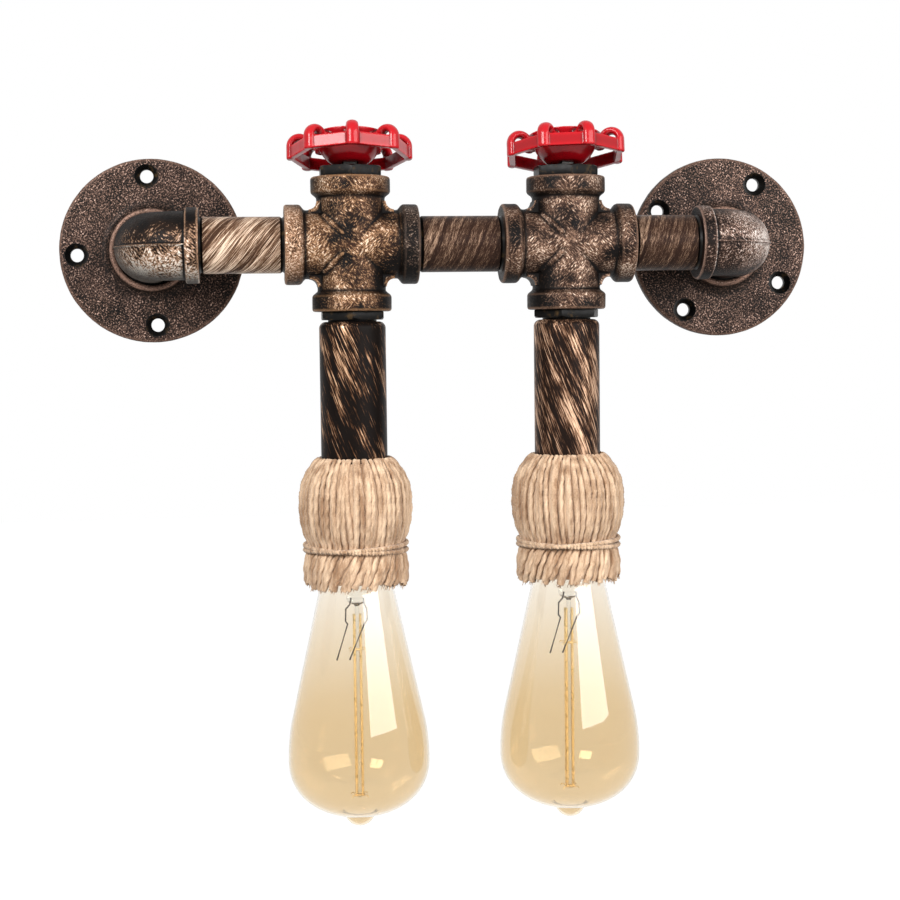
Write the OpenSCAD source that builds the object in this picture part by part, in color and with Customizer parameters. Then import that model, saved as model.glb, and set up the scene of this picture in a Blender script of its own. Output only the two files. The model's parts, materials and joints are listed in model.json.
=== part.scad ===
// Two-lamp pipe wall light. Threaded fittings run between two wall flanges. Above each
// cross a handwheel turns a rotary switch, and below it hangs a bulb in a twine cover.
// Millimetres, +Z up, the wall is the plane y = 0 and the room lies at negative y.
// The origin is the centre of the left flange's back face.

/* [Layout] */
// Distance from the wall to the pipe axis
standoff = 48; // [44:1:60]
// Bare pipe between the left elbow and the left cross
left_run = 37.3; // [25:0.5:80]
// Bare pipe between the two crosses
middle_run = 37.6; // [25:0.5:120]
// Bare pipe between the right cross and the right elbow
right_run = 30.3; // [25:0.5:80]

/* [Wall flanges] */
// Diameter of a flange
flange_d = 85; // [82:1:110]
// Thickness of the flange plate
plate_t = 5; // [4:0.5:7]
// Outside diameter of the flange hub
hub_d = 38; // [37:0.5:42]
// Height of the hub's lip above the wall
hub_h = 14; // [12:0.5:17]
// Diameter of the bolt circle
bolt_circle = 69; // [64:1:70]
// Diameter of a bolt hole
bolt_hole_d = 6.2; // [4:0.1:6.6]
// Diameter of a hole's countersink
countersink_d = 11; // [8:0.5:12]
// Turn of the left flange's holes, degrees
left_flange_turn = 3; // [0:1:45]
// Turn of the right flange's holes, degrees
right_flange_turn = 60; // [0:1:89]

/* [Pipe and fittings] */
// Outside diameter of the pipe
pipe_d = 25; // [24:0.5:26]
// Wall of the pipe
pipe_wall = 2.2; // [1.6:0.1:2.8]
// Length of thread inside a fitting
thread_in = 9; // [7:0.5:10]
// Pitch of the pipe thread
thread_pitch = 1.8; // [1.4:0.1:2.2]
// Outside diameter of the elbow's body
elbow_d = 30.4; // [30:0.2:31.4]
// Outside diameter of the elbow's mouth band
elbow_band_d = 33.4; // [32:0.2:36]
// Width of the elbow's mouth band
elbow_band_w = 6; // [4:0.5:7]
// Centre of the elbow to its mouth
elbow_reach = 23; // [22:0.5:30]
// Outside diameter of the elbow's threaded shank
shank_d = 26; // [25:0.2:27]
// Outside diameter of the cross's body
cross_d = 30.4; // [30:0.2:32]
// Outside diameter of the cross's bands
cross_band_d = 35.4; // [34:0.2:38]
// Width of the cross's bands
cross_band_w = 7.3; // [5:0.1:8]
// Centre of the cross to each mouth
cross_reach = 29.7; // [29:0.1:36]
// Radius of the notch between two arms of the cross
notch_r = 3.7; // [2:0.1:4.5]

/* [Handwheels and switches] */
// Width of the bonnet's hexagon across its flats
bonnet_af = 26.5; // [24:0.5:28]
// Height of the bonnet's hexagon
bonnet_h = 4.6; // [3:0.1:7]
// Diameter of the switch spindle
spindle_d = 8; // [7:0.5:9]
// Side of the spindle's square drive
drive_side = 5.6; // [4.6:0.1:5.6]
// Diameter of the stud that the wheel nut screws on
stud_d = 4.8; // [4:0.1:5]
// Diameter of the switch case
switch_d = 18; // [16.5:0.5:20]
// Height of the switch case
switch_h = 15; // [13:0.5:15.5]
// Width of a handwheel across its corners
wheel_d = 56; // [52:1:70]
// Height of the handwheel's rim
rim_h = 5.5; // [4:0.5:8]
// Thickness of the handwheel's rim
rim_t = 2.8; // [2.4:0.1:4]
// Height of the rim's lower edge above the foot of the cup
rim_lift = 2; // [1:0.5:4]
// Width of the arch that carries each corner of the rim
hump_w = 5.4; // [4:0.2:7]
// Depth of an arch along the wheel's radius
hump_depth = 12; // [10:0.5:13]
// Height of an arch from the rim's lower edge
hump_h = 11.5; // [10.5:0.5:14]
// Thickness of an arch round its opening
hump_t = 3.4; // [2.6:0.1:4]
// Height of the handwheel's cup
wheel_cup_h = 12.7; // [11:0.1:15]
// Thickness of the cup's floor, which the nut presses on
wheel_hub_h = 7; // [6:0.5:9]
// Diameter of the cup at its foot
wheel_foot_d = 13; // [12:0.5:15]
// Diameter of the cup at its brim
wheel_top_d = 33; // [30:0.5:36]
// Lean of each handwheel on its loose drive, degrees
wheel_lean = 9; // [0:1:10]
// Turn of the right handwheel against the left one, degrees
right_wheel_turn = 13.5; // [0:0.5:45]

/* [Drops and lampholders] */
// Width of the drop bushing's hexagon across its flats
drop_af = 27; // [25:0.5:29]
// Height of the drop bushing's hexagon
drop_hex_h = 3.7; // [3:0.1:6]
// Turn of the right drop bushing, degrees
right_drop_turn = 18; // [0:1:30]
// Diameter of the drop tube
tube_d = 29.7; // [28:0.1:31]
// Length of the drop tube
tube_l = 62.8; // [45:0.1:90]
// Wall of the drop tube
tube_wall = 1.5; // [1:0.1:2]
// Radius of the drop tube's shoulder
shoulder_r = 3; // [1.5:0.1:3.5]
// Diameter of the hollow rod that carries the lampholder
rod_d = 10; // [9.6:0.1:11]
// Outside diameter of the lampholder
holder_d = 37; // [36.4:0.1:38]
// Length of the lampholder
holder_l = 49; // [48:0.5:55]
// Thickness of the lampholder's wall at its mouth
holder_wall = 2.5; // [2:0.1:2.6]

/* [Twine covers] */
// Widest diameter of the twine cover
cover_d = 51.6; // [48:0.2:58]
// Diameter of the cover at its top edge
cover_top_d = 34.4; // [33.5:0.2:36]
// Diameter of the cover under the tie
waist_d = 42.6; // [42:0.2:44]
// Diameter of the skirt below the tie
skirt_d = 47.5; // [46:0.5:50]
// Height of the cover
cover_h = 57.5; // [54:0.5:64]
// Depth of the cover's tie below its top edge
tie_drop = 40; // [36:0.5:42]
// Number of strands round the cover
strands = 44; // [36:2:48]
// Depth of the groove between two strands
strand_groove = 1; // [0.4:0.1:1.2]
// Diameter of the tie twine
tie_d = 2.4; // [1.8:0.1:2.6]
// Number of turns in the tie
tie_turns = 2; // [2:1:3]

/* [Bulbs] */
// Widest diameter of the bulb
bulb_d = 64; // [56:1:68]
// Widest part of the bulb to the end of its screw cap
bulb_height = 118; // [108:1:130]
// Depth of the bulb's dome below its widest part
dome_h = 25.5; // [22:0.5:32]
// Length of the bulb's sealed tip
tip_h = 5.3; // [3:0.1:7]
// Thickness of the glass
glass_t = 0.8; // [0.6:0.1:1]
// Outside diameter of the bulb's screw cap
cap_d = 26.2; // [25.6:0.1:26.4]
// Length of the bulb's screw cap with its contact
cap_l = 27; // [25:0.5:28]

/* [Wiring] */
// Outside diameter of an insulated conductor
lead_d = 2.2; // [1.8:0.1:2.4]

/* [Hidden] */
$fn = 64;

// Clearances
thread_clear = 0.05;
run_clear = 0.05;
lay_clear = 0.3;
loose_clear = 0.8;
overcut = 1;

// Radii of the pipework
pipe_r = pipe_d / 2;
pipe_bore_r = pipe_r - pipe_wall;
socket_r = pipe_r + thread_clear;
thread_depth = thread_pitch * 0.35;
thread_show = 3;
elbow_r = elbow_d / 2;
elbow_bore_r = pipe_bore_r - 0.5;
bend_r = elbow_r + 0.8;
shank_r = shank_d / 2;
cross_r = cross_d / 2;
cross_band_r = cross_band_d / 2;
cross_bore_r = pipe_bore_r;
web_t = cross_r * 0.9;
neck_slope = 1.5;

// Wall flanges
flange_r = flange_d / 2;
hub_r = hub_d / 2;
flange_edge = 1.2;
hub_foot = 3;
lip_r = elbow_r + 1;
lip_depth = 3.5;
shank_stop = 2.5;
elbow_seat = hub_h - 1.5;
countersink_h = (countersink_d - bolt_hole_d) / 2;

// Places along the pipe
left_cross_x = elbow_reach + left_run + cross_reach;
right_cross_x = left_cross_x + 2 * cross_reach + middle_run;
right_flange_x = right_cross_x + cross_reach + right_run + elbow_reach;

// Bonnet, switch and handwheel
hex_corner = 1 / cos(30);
hex_edge = 0.8;
spindle_r = spindle_d / 2;
bonnet_top = cross_reach + bonnet_h;
switch_r = switch_d / 2;
switch_top = cross_reach - thread_in;
switch_bottom = switch_top - switch_h;
switch_roof = 2.5;
switch_floor = 2;
switch_wall = 1.4;
cam_h = 3;
cam_r = spindle_r + 1.4;
tag_t = 0.6;
tag_w = 3;
tag_grip = 4.5;
tag_rest = 1.2;
tag_end = min(tag_rest, switch_bottom - tag_grip);
tag_l = switch_bottom - tag_end;
live_tag_y = switch_r - switch_wall - tag_t - 0.8;
load_tag_y = -1.7;
tag_h = 2.5;
wheel_r = wheel_d / 2;
wheel_foot_r = wheel_foot_d / 2;
wheel_top_r = wheel_top_d / 2;
wheel_lobes = 8;
cup_wall = 2.2;
cup_rings = 12;
hump_proud = 0.8;
rim_corner_r = wheel_r - hump_proud;
drive_hole = drive_side + 2 * loose_clear;
foot_dip = wheel_foot_r * sin(wheel_lean);
wheel_z = bonnet_top + foot_dip + lay_clear;
washer_r = drive_hole * 0.9;
washer_t = 1;
washer_rise = washer_r * sin(wheel_lean);
washer_z = wheel_z + wheel_hub_h * cos(wheel_lean) + washer_rise + lay_clear;
stud_r = stud_d / 2;
nut_af = stud_d * 1.7;
nut_h = 4;
nut_z = washer_z + washer_t;
stud_end = 1.2;

// Drop, lampholder and its base
rod_r = rod_d / 2;
rod_bore_r = rod_r - 1.4;
rod_stand = 2;
collar_r = tube_d / 2 - shoulder_r - 1;
collar_h = 0.8;
tube_r = tube_d / 2;
tube_roof = 2;
tube_top = -(cross_reach + drop_hex_h + collar_h);
holder_top = tube_top - tube_l;
holder_r = holder_d / 2;
holder_roof = 6;
holder_chamfer = 3;
holder_mouth_r = holder_r - holder_wall;
ledge_w = 1.5;
terminal_room = 4;
base_t = 5;
base_top = holder_top - holder_roof - terminal_room;
base_bottom = base_top - base_t;
screw_head_r = 1.7;
screw_head_h = 1.6;
screw_r = 1;
screw_l = 3.5;
lead_r = lead_d / 2;
drop_lead_y = 1.7;
terminal_y = drop_lead_y + lead_r + screw_head_r + 0.2;
contact_t = 0.5;
contact_w = 5;
contact_l = 12;
contact_pip_r = 3;
contact_pip_h = 1.2;

// Bulb, from the centre contact down
cap_r = cap_d / 2;
cap_wall = 0.4;
cap_thread = 0.8;
cap_turns = 5;
cap_skirt = 2;
cap_crown = 7;
cap_pitch = (cap_l - cap_skirt - cap_crown) / cap_turns;
cap_top = base_bottom - contact_t - contact_pip_h - lay_clear;
cap_end = cap_top - cap_l;
cap_thread_end = cap_end + cap_skirt;
cap_shoulder = cap_thread_end + cap_turns * cap_pitch;
cap_contact_r = 3.6;
cap_glass_r = 7.5;
shell_clear = 0.3;
shell_t = 0.5;
shell_in_r = cap_r + shell_clear;
shell_lip = 1;
bulb_r = bulb_d / 2;
bulb_z = cap_top - bulb_height;
holder_mouth = holder_top - holder_l;
neck_in = 7;
neck_r = cap_r - cap_thread - cap_wall - 0.1;
throat_drop = 5;
throat_r = cap_r + 2.2;
shoulder_h = bulb_r * 1.72;
shoulder_rise = bulb_r * 0.6;
dome_power = 2.2;
tip_r = 5.5;
stem_flare_r = neck_r - glass_t - 0.1;
stem_r = 4;
stem_l = 26;
stem_top = cap_end + neck_in - 1;
pinch_z = stem_top - stem_l;
rod_end_z = bulb_z - dome_h * 0.72;
arbor_r = 0.9;
filament_r = 0.35;
filament_ring = 2.1;
filament_count = 4;
filament_top = pinch_z - 5;
anchor_z = pinch_z - 21;
anchor_r = 0.25;
anchor_l = 5;
lead_wire_r = 0.45;
lead_wire_spread = [[-1.3, -10.4], [1.3, -4]];
lead_wire_drop = 25;

// Twine cover and tie
cover_top = holder_top + 2;
cover_r = cover_d / 2;
cover_top_r = cover_top_d / 2;
cover_bottom = cover_top - cover_h;
tie_z = cover_top - tie_drop;
tie_r = tie_d / 2;
tie_pitch = tie_d + 0.55;
tie_rings = 24;
tie_sides = 6;
waist_r = waist_d / 2;
skirt_r = skirt_d / 2;
waist_h = tie_turns * tie_pitch + tie_d + 1;
waist_top = tie_z + waist_h / 2;
waist_bottom = tie_z - waist_h / 2;
waist_slope = 2.5;
ball_z = cover_top - tie_drop / 2;
ball_bottom = waist_top + waist_slope;
brow_r = skirt_r - 0.4;
hem_r = skirt_r - 1.6;
cover_in_top = tube_r + lay_clear;
cover_in_r = holder_r + lay_clear + 0.1;
hem_in_r = cover_in_r + 1;

// Conductors inside the pipe
live_y = live_tag_y + tag_t / 2 + lead_r + 0.1;
live_z = tag_end + tag_grip / 2;
neutral_y = drop_lead_y;
neutral_z = tag_end - lead_r - 2.5;

// Points of a round stretch between two angles
function arc(x, y, rx, ry, a, b, n) =
  [for (i = [0 : n]) let (t = a + (b - a) * i / n) [x + rx * cos(t), y + ry * sin(t)]];

// Crests and roots of a thread between two heights, as an outline's points
function thread_points(r, depth, z0, z1, turns) =
  [for (i = [0 : 2 * turns]) [r - (i % 2) * depth, z0 + (z1 - z0) * i / (2 * turns)]];

// Hexagonal prism standing on z = 0, with its far edge chamfered
module hexagon(af, h, turn) {
  intersection() {
    rotate(turn) cylinder(r = af / 2 * hex_corner, h = h, $fn = 6);
    union() {
      cylinder(r = af / 2 * hex_corner + 1, h = h - hex_edge);
      translate([0, 0, h - hex_edge])
        cylinder(r1 = af / 2 * hex_corner, r2 = af / 2 * hex_corner - hex_edge * 1.7, h = hex_edge);
    }
  }
}

// Carries a shape standing on z = 0 to the wall, so that it stands out into the room
module on_wall(x) {
  translate([x, 0, 0]) rotate([90, 0, 0]) children();
}

// Puts a shape on a cross's vertical axis
module on_drop(x) {
  translate([x, -standoff, 0]) children();
}

// Leans a wheel that stands on z = 0 about the middle of its hub, its near side up
module on_drive(x) {
  on_drop(x) translate([0, 0, wheel_z + wheel_hub_h / 2]) rotate([-wheel_lean, 0, 0])
    translate([0, 0, -wheel_hub_h / 2]) children();
}

module flange(x, turn) {
  color("#4a3a2c") on_wall(x) difference() {
    union() {
      cylinder(r = flange_r, h = plate_t - flange_edge);
      translate([0, 0, plate_t - flange_edge])
        cylinder(r1 = flange_r, r2 = flange_r - flange_edge, h = flange_edge);
      translate([0, 0, plate_t]) cylinder(r1 = hub_r + hub_foot, r2 = hub_r, h = hub_foot);
      cylinder(r = hub_r, h = hub_h);
    }
    translate([0, 0, -overcut]) cylinder(r = shank_r + thread_clear, h = hub_h + 2 * overcut);
    translate([0, 0, hub_h - lip_depth]) cylinder(r = lip_r, h = lip_depth + overcut);
    for (k = [0 : 3]) rotate(turn + 90 * k) translate([bolt_circle / 2, 0, 0]) {
      translate([0, 0, -overcut]) cylinder(d = bolt_hole_d, h = plate_t + 2 * overcut);
      translate([0, 0, plate_t - countersink_h])
        cylinder(d1 = bolt_hole_d, d2 = countersink_d, h = countersink_h);
      translate([0, 0, plate_t]) cylinder(d = countersink_d, h = hub_h);
    }
  }
}

// Street elbow: its corner at the origin, its mouth along +X and its shank along +Y
module elbow() {
  leg_l = standoff - bend_r - elbow_seat;
  shank_l = elbow_seat - shank_stop;
  socket_l = thread_in + thread_clear;
  color("#6b5238") difference() {
    union() {
      translate([elbow_reach - elbow_band_w, 0, 0]) rotate([0, 90, 0])
        cylinder(d = elbow_band_d, h = elbow_band_w);
      translate([bend_r, 0, 0]) rotate([0, 90, 0]) cylinder(r = elbow_r, h = elbow_reach - bend_r);
      translate([bend_r, bend_r, 0]) rotate(180) rotate_extrude(angle = 90)
        translate([bend_r, 0]) circle(r = elbow_r);
      translate([0, bend_r, 0]) rotate([-90, 0, 0]) cylinder(r = elbow_r, h = leg_l);
      translate([0, bend_r + leg_l, 0]) rotate([-90, 0, 0]) cylinder(r = shank_r, h = shank_l);
    }
    translate([elbow_reach - socket_l, 0, 0]) rotate([0, 90, 0])
      cylinder(r = socket_r, h = socket_l + overcut);
    translate([bend_r, 0, 0]) rotate([0, 90, 0]) cylinder(r = elbow_bore_r, h = elbow_reach - bend_r);
    translate([bend_r, bend_r, 0]) rotate(180) rotate_extrude(angle = 90)
      translate([bend_r, 0]) circle(r = elbow_bore_r);
    translate([0, bend_r, 0]) rotate([-90, 0, 0])
      cylinder(r = elbow_bore_r, h = leg_l + shank_l + overcut);
  }
}

module elbow_left() {
  translate([0, -standoff, 0]) elbow();
}

module elbow_right() {
  translate([right_flange_x, -standoff, 0]) mirror([1, 0, 0]) elbow();
}

// Threaded pipe between two mouths, the left one at x
module nipple(x, run) {
  full = run + 2 * thread_in;
  turns = floor((thread_in + thread_show) / thread_pitch);
  stretch = turns * thread_pitch;
  color("#8a6a45") translate([x - thread_in, -standoff, 0]) rotate([0, 90, 0])
    rotate_extrude() polygon(concat(
      [[pipe_bore_r, 0]],
      thread_points(pipe_r, thread_depth, 0, stretch, turns),
      thread_points(pipe_r, thread_depth, full - stretch, full, turns),
      [[pipe_bore_r, full]]));
}

// One banded arm of a cross, along +Z from its centre
module cross_arm() {
  band_z = cross_reach - cross_band_w;
  cylinder(r = cross_r, h = cross_reach);
  translate([0, 0, band_z]) cylinder(r = cross_band_r, h = cross_band_w);
  translate([0, 0, band_z - neck_slope]) cylinder(r1 = cross_r, r2 = cross_band_r, h = neck_slope);
}

module cross(x) {
  notch = cross_r + notch_r;
  socket_l = thread_in + thread_clear;
  color("#6b5238") on_drop(x) difference() {
    union() {
      for (a = [0, 90, 180, 270]) rotate([0, a, 0]) cross_arm();
      rotate([90, 0, 0]) linear_extrude(web_t, center = true) difference() {
        square(2 * notch, center = true);
        for (a = [0 : 3]) rotate(90 * a) translate([notch, notch]) circle(r = notch_r);
      }
    }
    cylinder(r = socket_r, h = 2 * (cross_reach + overcut), center = true);
    rotate([0, 90, 0]) cylinder(r = cross_bore_r, h = 2 * cross_reach, center = true);
    for (a = [90, 270]) rotate([0, a, 0]) translate([0, 0, cross_reach - socket_l])
      cylinder(r = socket_r, h = socket_l + overcut);
  }
}

module bonnet(x) {
  color("#1c1a18") on_drop(x) difference() {
    union() {
      translate([0, 0, cross_reach]) hexagon(bonnet_af, bonnet_h, 30);
      translate([0, 0, switch_top]) cylinder(r = pipe_r, h = thread_in);
    }
    translate([0, 0, switch_top - overcut])
      cylinder(r = spindle_r + run_clear, h = thread_in + bonnet_h + 2 * overcut);
  }
}

// Upright slot for a switch tag, wider than the tag by a clearance
module tag(y, z, h, clear) {
  translate([-tag_w / 2 - clear, y - tag_t / 2 - clear, z]) cube([tag_w + 2 * clear, tag_t + 2 * clear, h]);
}

module switch_case(x) {
  color("#2b2b2e") on_drop(x) difference() {
    translate([0, 0, switch_bottom]) cylinder(r = switch_r, h = switch_h);
    translate([0, 0, switch_bottom + switch_floor])
      cylinder(r = switch_r - switch_wall, h = switch_h - switch_floor - switch_roof);
    translate([0, 0, switch_top - switch_roof - overcut])
      cylinder(r = spindle_r + 4 * run_clear, h = switch_roof + 2 * overcut);
    for (y = [live_tag_y, load_tag_y]) tag(y, switch_bottom - overcut, switch_floor + 2 * overcut, run_clear);
  }
}

module switch_tags(x) {
  color("#b08d3c") on_drop(x) for (y = [live_tag_y, load_tag_y])
    tag(y, tag_end, tag_l + switch_floor + tag_h, 0);
}

module spindle(x, turn) {
  cam_top = switch_top - switch_roof - lay_clear;
  drive_z = bonnet_top + lay_clear / 2;
  color("#9a8f7c") on_drop(x) rotate(turn) union() {
    translate([0, 0, cam_top - cam_h]) cylinder(r = cam_r, h = cam_h);
    translate([0, 0, cam_top - cam_h]) cylinder(r = spindle_r, h = drive_z - cam_top + cam_h);
    translate([-drive_side / 2, -drive_side / 2, drive_z])
      cube([drive_side, drive_side, washer_z - drive_z]);
    translate([0, 0, washer_z]) cylinder(r = stud_r, h = washer_t + nut_h + stud_end);
  }
}

// Arch that springs from a corner of the rim and lands on the wall of the cup
module wheel_hump() {
  arch_r = hump_depth / 2;
  arch_x = wheel_r - arch_r;
  arch_z = rim_lift + hump_h - arch_r;
  foot_z = rim_lift - lay_clear;
  leg_x = wheel_r - hump_t;
  landing_h = arch_r * 0.7;
  rotate([90, 0, 0]) linear_extrude(hump_w, center = true) union() {
    translate([leg_x, foot_z]) square([hump_t, arch_z - foot_z]);
    difference() {
      union() {
        translate([arch_x, arch_z]) circle(r = arch_r);
        translate([wheel_foot_r, arch_z]) square([arch_x - wheel_foot_r, landing_h]);
      }
      translate([arch_x, arch_z]) circle(r = arch_r - hump_t);
      translate([arch_x - arch_r, arch_z - arch_r - overcut]) square([2 * arch_r, arch_r + overcut]);
    }
  }
}

// Flaring cup whose side follows a parabola
module wheel_cup() {
  flare = wheel_top_r - wheel_foot_r;
  rotate_extrude() polygon(concat(
    [[0, 0]],
    [for (k = [0 : cup_rings]) [wheel_foot_r + flare * k / cup_rings, wheel_cup_h * pow(k / cup_rings, 2)]],
    [[0, wheel_cup_h]]));
}

module handwheel(x, turn) {
  floor_r = wheel_foot_r + (wheel_top_r - wheel_foot_r) * sqrt(wheel_hub_h / wheel_cup_h) - cup_wall;
  color("#c4161c") on_drive(x) rotate(turn)
    difference() {
      union() {
        translate([0, 0, rim_lift]) difference() {
          cylinder(r = rim_corner_r, h = rim_h, $fn = 8);
          translate([0, 0, -overcut]) cylinder(r = rim_corner_r - rim_t, h = rim_h + 2 * overcut, $fn = 8);
        }
        for (k = [1 : wheel_lobes]) rotate(360 / wheel_lobes * k) wheel_hump();
        wheel_cup();
      }
      translate([0, 0, wheel_hub_h])
        cylinder(r1 = floor_r, r2 = wheel_top_r - cup_wall, h = wheel_cup_h - wheel_hub_h + overcut);
      translate([-drive_hole / 2, -drive_hole / 2, -overcut])
        cube([drive_hole, drive_hole, wheel_hub_h + 2 * overcut]);
    }
}

module wheel_washer(x) {
  color("#8d8a84") on_drop(x) translate([0, 0, washer_z]) difference() {
    cylinder(r = washer_r, h = washer_t);
    translate([0, 0, -overcut]) cylinder(r = stud_r + thread_clear, h = washer_t + 2 * overcut);
  }
}

module wheel_nut(x) {
  color("#8d8a84") on_drop(x) translate([0, 0, nut_z]) difference() {
    hexagon(nut_af, nut_h, 0);
    translate([0, 0, -overcut]) cylinder(r = stud_r + thread_clear, h = nut_h + 2 * overcut);
  }
}

module drop_bushing(x, turn) {
  color("#1c1a18") on_drop(x) difference() {
    union() {
      translate([0, 0, -cross_reach]) mirror([0, 0, 1]) hexagon(drop_af, drop_hex_h, turn);
      translate([0, 0, tube_top]) cylinder(r = collar_r, h = collar_h + drop_hex_h);
      translate([0, 0, -cross_reach]) cylinder(r = pipe_r, h = thread_in);
    }
    translate([0, 0, tube_top - overcut])
      cylinder(r = rod_r + thread_clear, h = thread_in + drop_hex_h + collar_h + 2 * overcut);
  }
}

module holder_rod(x) {
  rod_bottom = holder_top - holder_roof;
  rod_l = -cross_reach + thread_in + rod_stand - rod_bottom;
  color("#a08a4a") on_drop(x) translate([0, 0, rod_bottom]) difference() {
    cylinder(r = rod_r, h = rod_l);
    translate([0, 0, -overcut]) cylinder(r = rod_bore_r, h = rod_l + 2 * overcut);
  }
}

module drop_tube(x) {
  color("#8a6a45") on_drop(x) translate([0, 0, tube_top]) rotate_extrude() polygon(concat(
    [[rod_r + thread_clear, 0]],
    arc(tube_r - shoulder_r, -shoulder_r, shoulder_r, shoulder_r, 90, 0, 8),
    [
      [tube_r, -tube_l],
      [tube_r - tube_wall, -tube_l],
      [tube_r - tube_wall, -tube_roof - shoulder_r],
      [tube_r - tube_wall - shoulder_r, -tube_roof],
      [rod_r + thread_clear, -tube_roof]
    ]));
}

module lampholder(x) {
  room_r = holder_mouth_r - ledge_w;
  color("#26211d") on_drop(x) translate([0, 0, holder_top]) rotate_extrude() polygon([
    [rod_r + thread_clear, 0],
    [holder_r - holder_chamfer, 0],
    [holder_r, -holder_chamfer],
    [holder_r, -holder_l],
    [holder_mouth_r, -holder_l],
    [holder_mouth_r, -holder_roof - terminal_room],
    [room_r, -holder_roof - terminal_room],
    [room_r, -holder_roof],
    [rod_r + thread_clear, -holder_roof]
  ]);
}

module holder_base(x) {
  color("#e6e0d2") on_drop(x) difference() {
    translate([0, 0, base_bottom]) cylinder(r = holder_mouth_r - thread_clear, h = base_t);
    for (y = [-terminal_y, terminal_y]) translate([0, y, base_top - screw_l])
      cylinder(r = screw_r + thread_clear, h = screw_l + overcut);
  }
}

module terminal_screws(x) {
  color("#b08d3c") on_drop(x) for (y = [-terminal_y, terminal_y]) translate([0, y, base_top]) {
    cylinder(r = screw_head_r, h = screw_head_h);
    translate([0, 0, -screw_l]) cylinder(r = screw_r, h = screw_l);
  }
}

module centre_contact(x) {
  color("#b08d3c") on_drop(x) translate([0, 0, base_bottom]) {
    translate([-contact_l / 2, -contact_w / 2, -contact_t]) cube([contact_l, contact_w, contact_t]);
    translate([0, 0, -contact_t - contact_pip_h]) cylinder(r = contact_pip_r, h = contact_pip_h);
  }
}

module screw_shell(x) {
  wave_r = shell_in_r + cap_thread * 0.6;
  outer_r = wave_r + shell_t;
  color("#b08d3c") on_drop(x) rotate_extrude() polygon(concat(
    [[shell_in_r - 2 * shell_lip, base_bottom], [outer_r, base_bottom], [outer_r, cap_shoulder]],
    thread_points(outer_r, cap_thread * 0.6, cap_shoulder, cap_thread_end, cap_turns),
    [[outer_r, cap_end], [wave_r, cap_end]],
    thread_points(wave_r, cap_thread * 0.6, cap_thread_end, cap_shoulder, cap_turns),
    [[wave_r, base_bottom - shell_t], [shell_in_r - 2 * shell_lip, base_bottom - shell_t]]));
}

// Outline of the cover from its top edge down to its hem, as [radius, height]
function cover_outline() = concat(
  [for (t = [90 : -18 : 0])
    [cover_top_r + (cover_r - cover_top_r) * cos(t), ball_z + (cover_top - ball_z) * sin(t)]],
  [for (k = [1 : 3]) let (t = k / 3)
    [brow_r + (cover_r - brow_r) * (1 + cos(180 * t)) / 2, ball_z + (ball_bottom - ball_z) * t]],
  [
    [waist_r, waist_top],
    [waist_r, waist_bottom],
    [brow_r, waist_bottom - waist_slope],
    [skirt_r, (waist_bottom - waist_slope + cover_bottom) / 2],
    [hem_r, cover_bottom]
  ]);

// Inside of the cover from its hem up to its top edge
function cover_lining() = [
  [hem_in_r, cover_bottom],
  [cover_in_r, holder_mouth],
  [cover_in_r, holder_top - holder_chamfer / 2],
  [cover_in_top, holder_top + 1],
  [cover_in_top, cover_top]
];

module twine_cover(x) {
  outline = cover_outline();
  lining = cover_lining();
  sides = 2 * strands;
  rows = len(outline) + len(lining);
  points = concat(
    [for (p = outline) for (k = [0 : sides - 1])
      let (r = p[0] - (k % 2) * strand_groove, a = 360 * k / sides) [r * cos(a), r * sin(a), p[1]]],
    [for (p = lining) for (k = [0 : sides - 1])
      let (a = 360 * k / sides) [p[0] * cos(a), p[0] * sin(a), p[1]]]);
  faces = [for (i = [0 : rows - 1]) for (k = [0 : sides - 1]) for (half = [0, 1])
    let (
      a = i * sides + k,
      b = i * sides + (k + 1) % sides,
      c = ((i + 1) % rows) * sides + (k + 1) % sides,
      d = ((i + 1) % rows) * sides + k)
    half == 0 ? [a, b, c] : [a, c, d]];
  color("#b98f5a") on_drop(x) polyhedron(points, faces);
}

// Middle line of the tie: its turns, and a straight end of one diameter at each end
tie_mid_r = waist_r + lay_clear + tie_r;
tie_steps = tie_turns * tie_rings;
function tie_centre(i) =
  let (
    j = min(max(i, 0), tie_steps),
    a = -90 + 360 * j / tie_rings,
    slip = (i - j) * tie_d)
  [tie_mid_r * cos(a) - slip * sin(a), tie_mid_r * sin(a) + slip * cos(a),
    tie_z + tie_pitch * (tie_turns / 2 - j / tie_rings)];
function tie_out(i) =
  let (a = -90 + 360 * min(max(i, 0), tie_steps) / tie_rings) [cos(a), sin(a), 0];
tie_gap = min([for (i = [0 : tie_steps - tie_rings / 2]) for (j = [i + tie_rings / 2 : tie_steps])
  norm(tie_centre(i) - tie_centre(j)) - tie_d]);
echo(least_tie_gap = tie_gap);

module tie_twine(x) {
  last = tie_steps + 2;
  points = [for (i = [-1 : tie_steps + 1]) for (k = [0 : tie_sides - 1])
    let (t = 360 * k / tie_sides) tie_centre(i) + tie_r * (cos(t) * tie_out(i) + [0, 0, sin(t)])];
  walls = [for (i = [0 : last - 1]) for (k = [0 : tie_sides - 1]) for (half = [0, 1])
    let (
      a = i * tie_sides + k,
      b = i * tie_sides + (k + 1) % tie_sides,
      c = b + tie_sides,
      d = a + tie_sides)
    half == 0 ? [a, c, b] : [a, d, c]];
  ends = [for (k = [1 : tie_sides - 2]) for (e = [0, 1])
    e == 0 ? [0, k, k + 1] : [last * tie_sides, last * tie_sides + k + 1, last * tie_sides + k]];
  color("#a87f4c") on_drop(x) polyhedron(points, concat(walls, ends));
}

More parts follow.
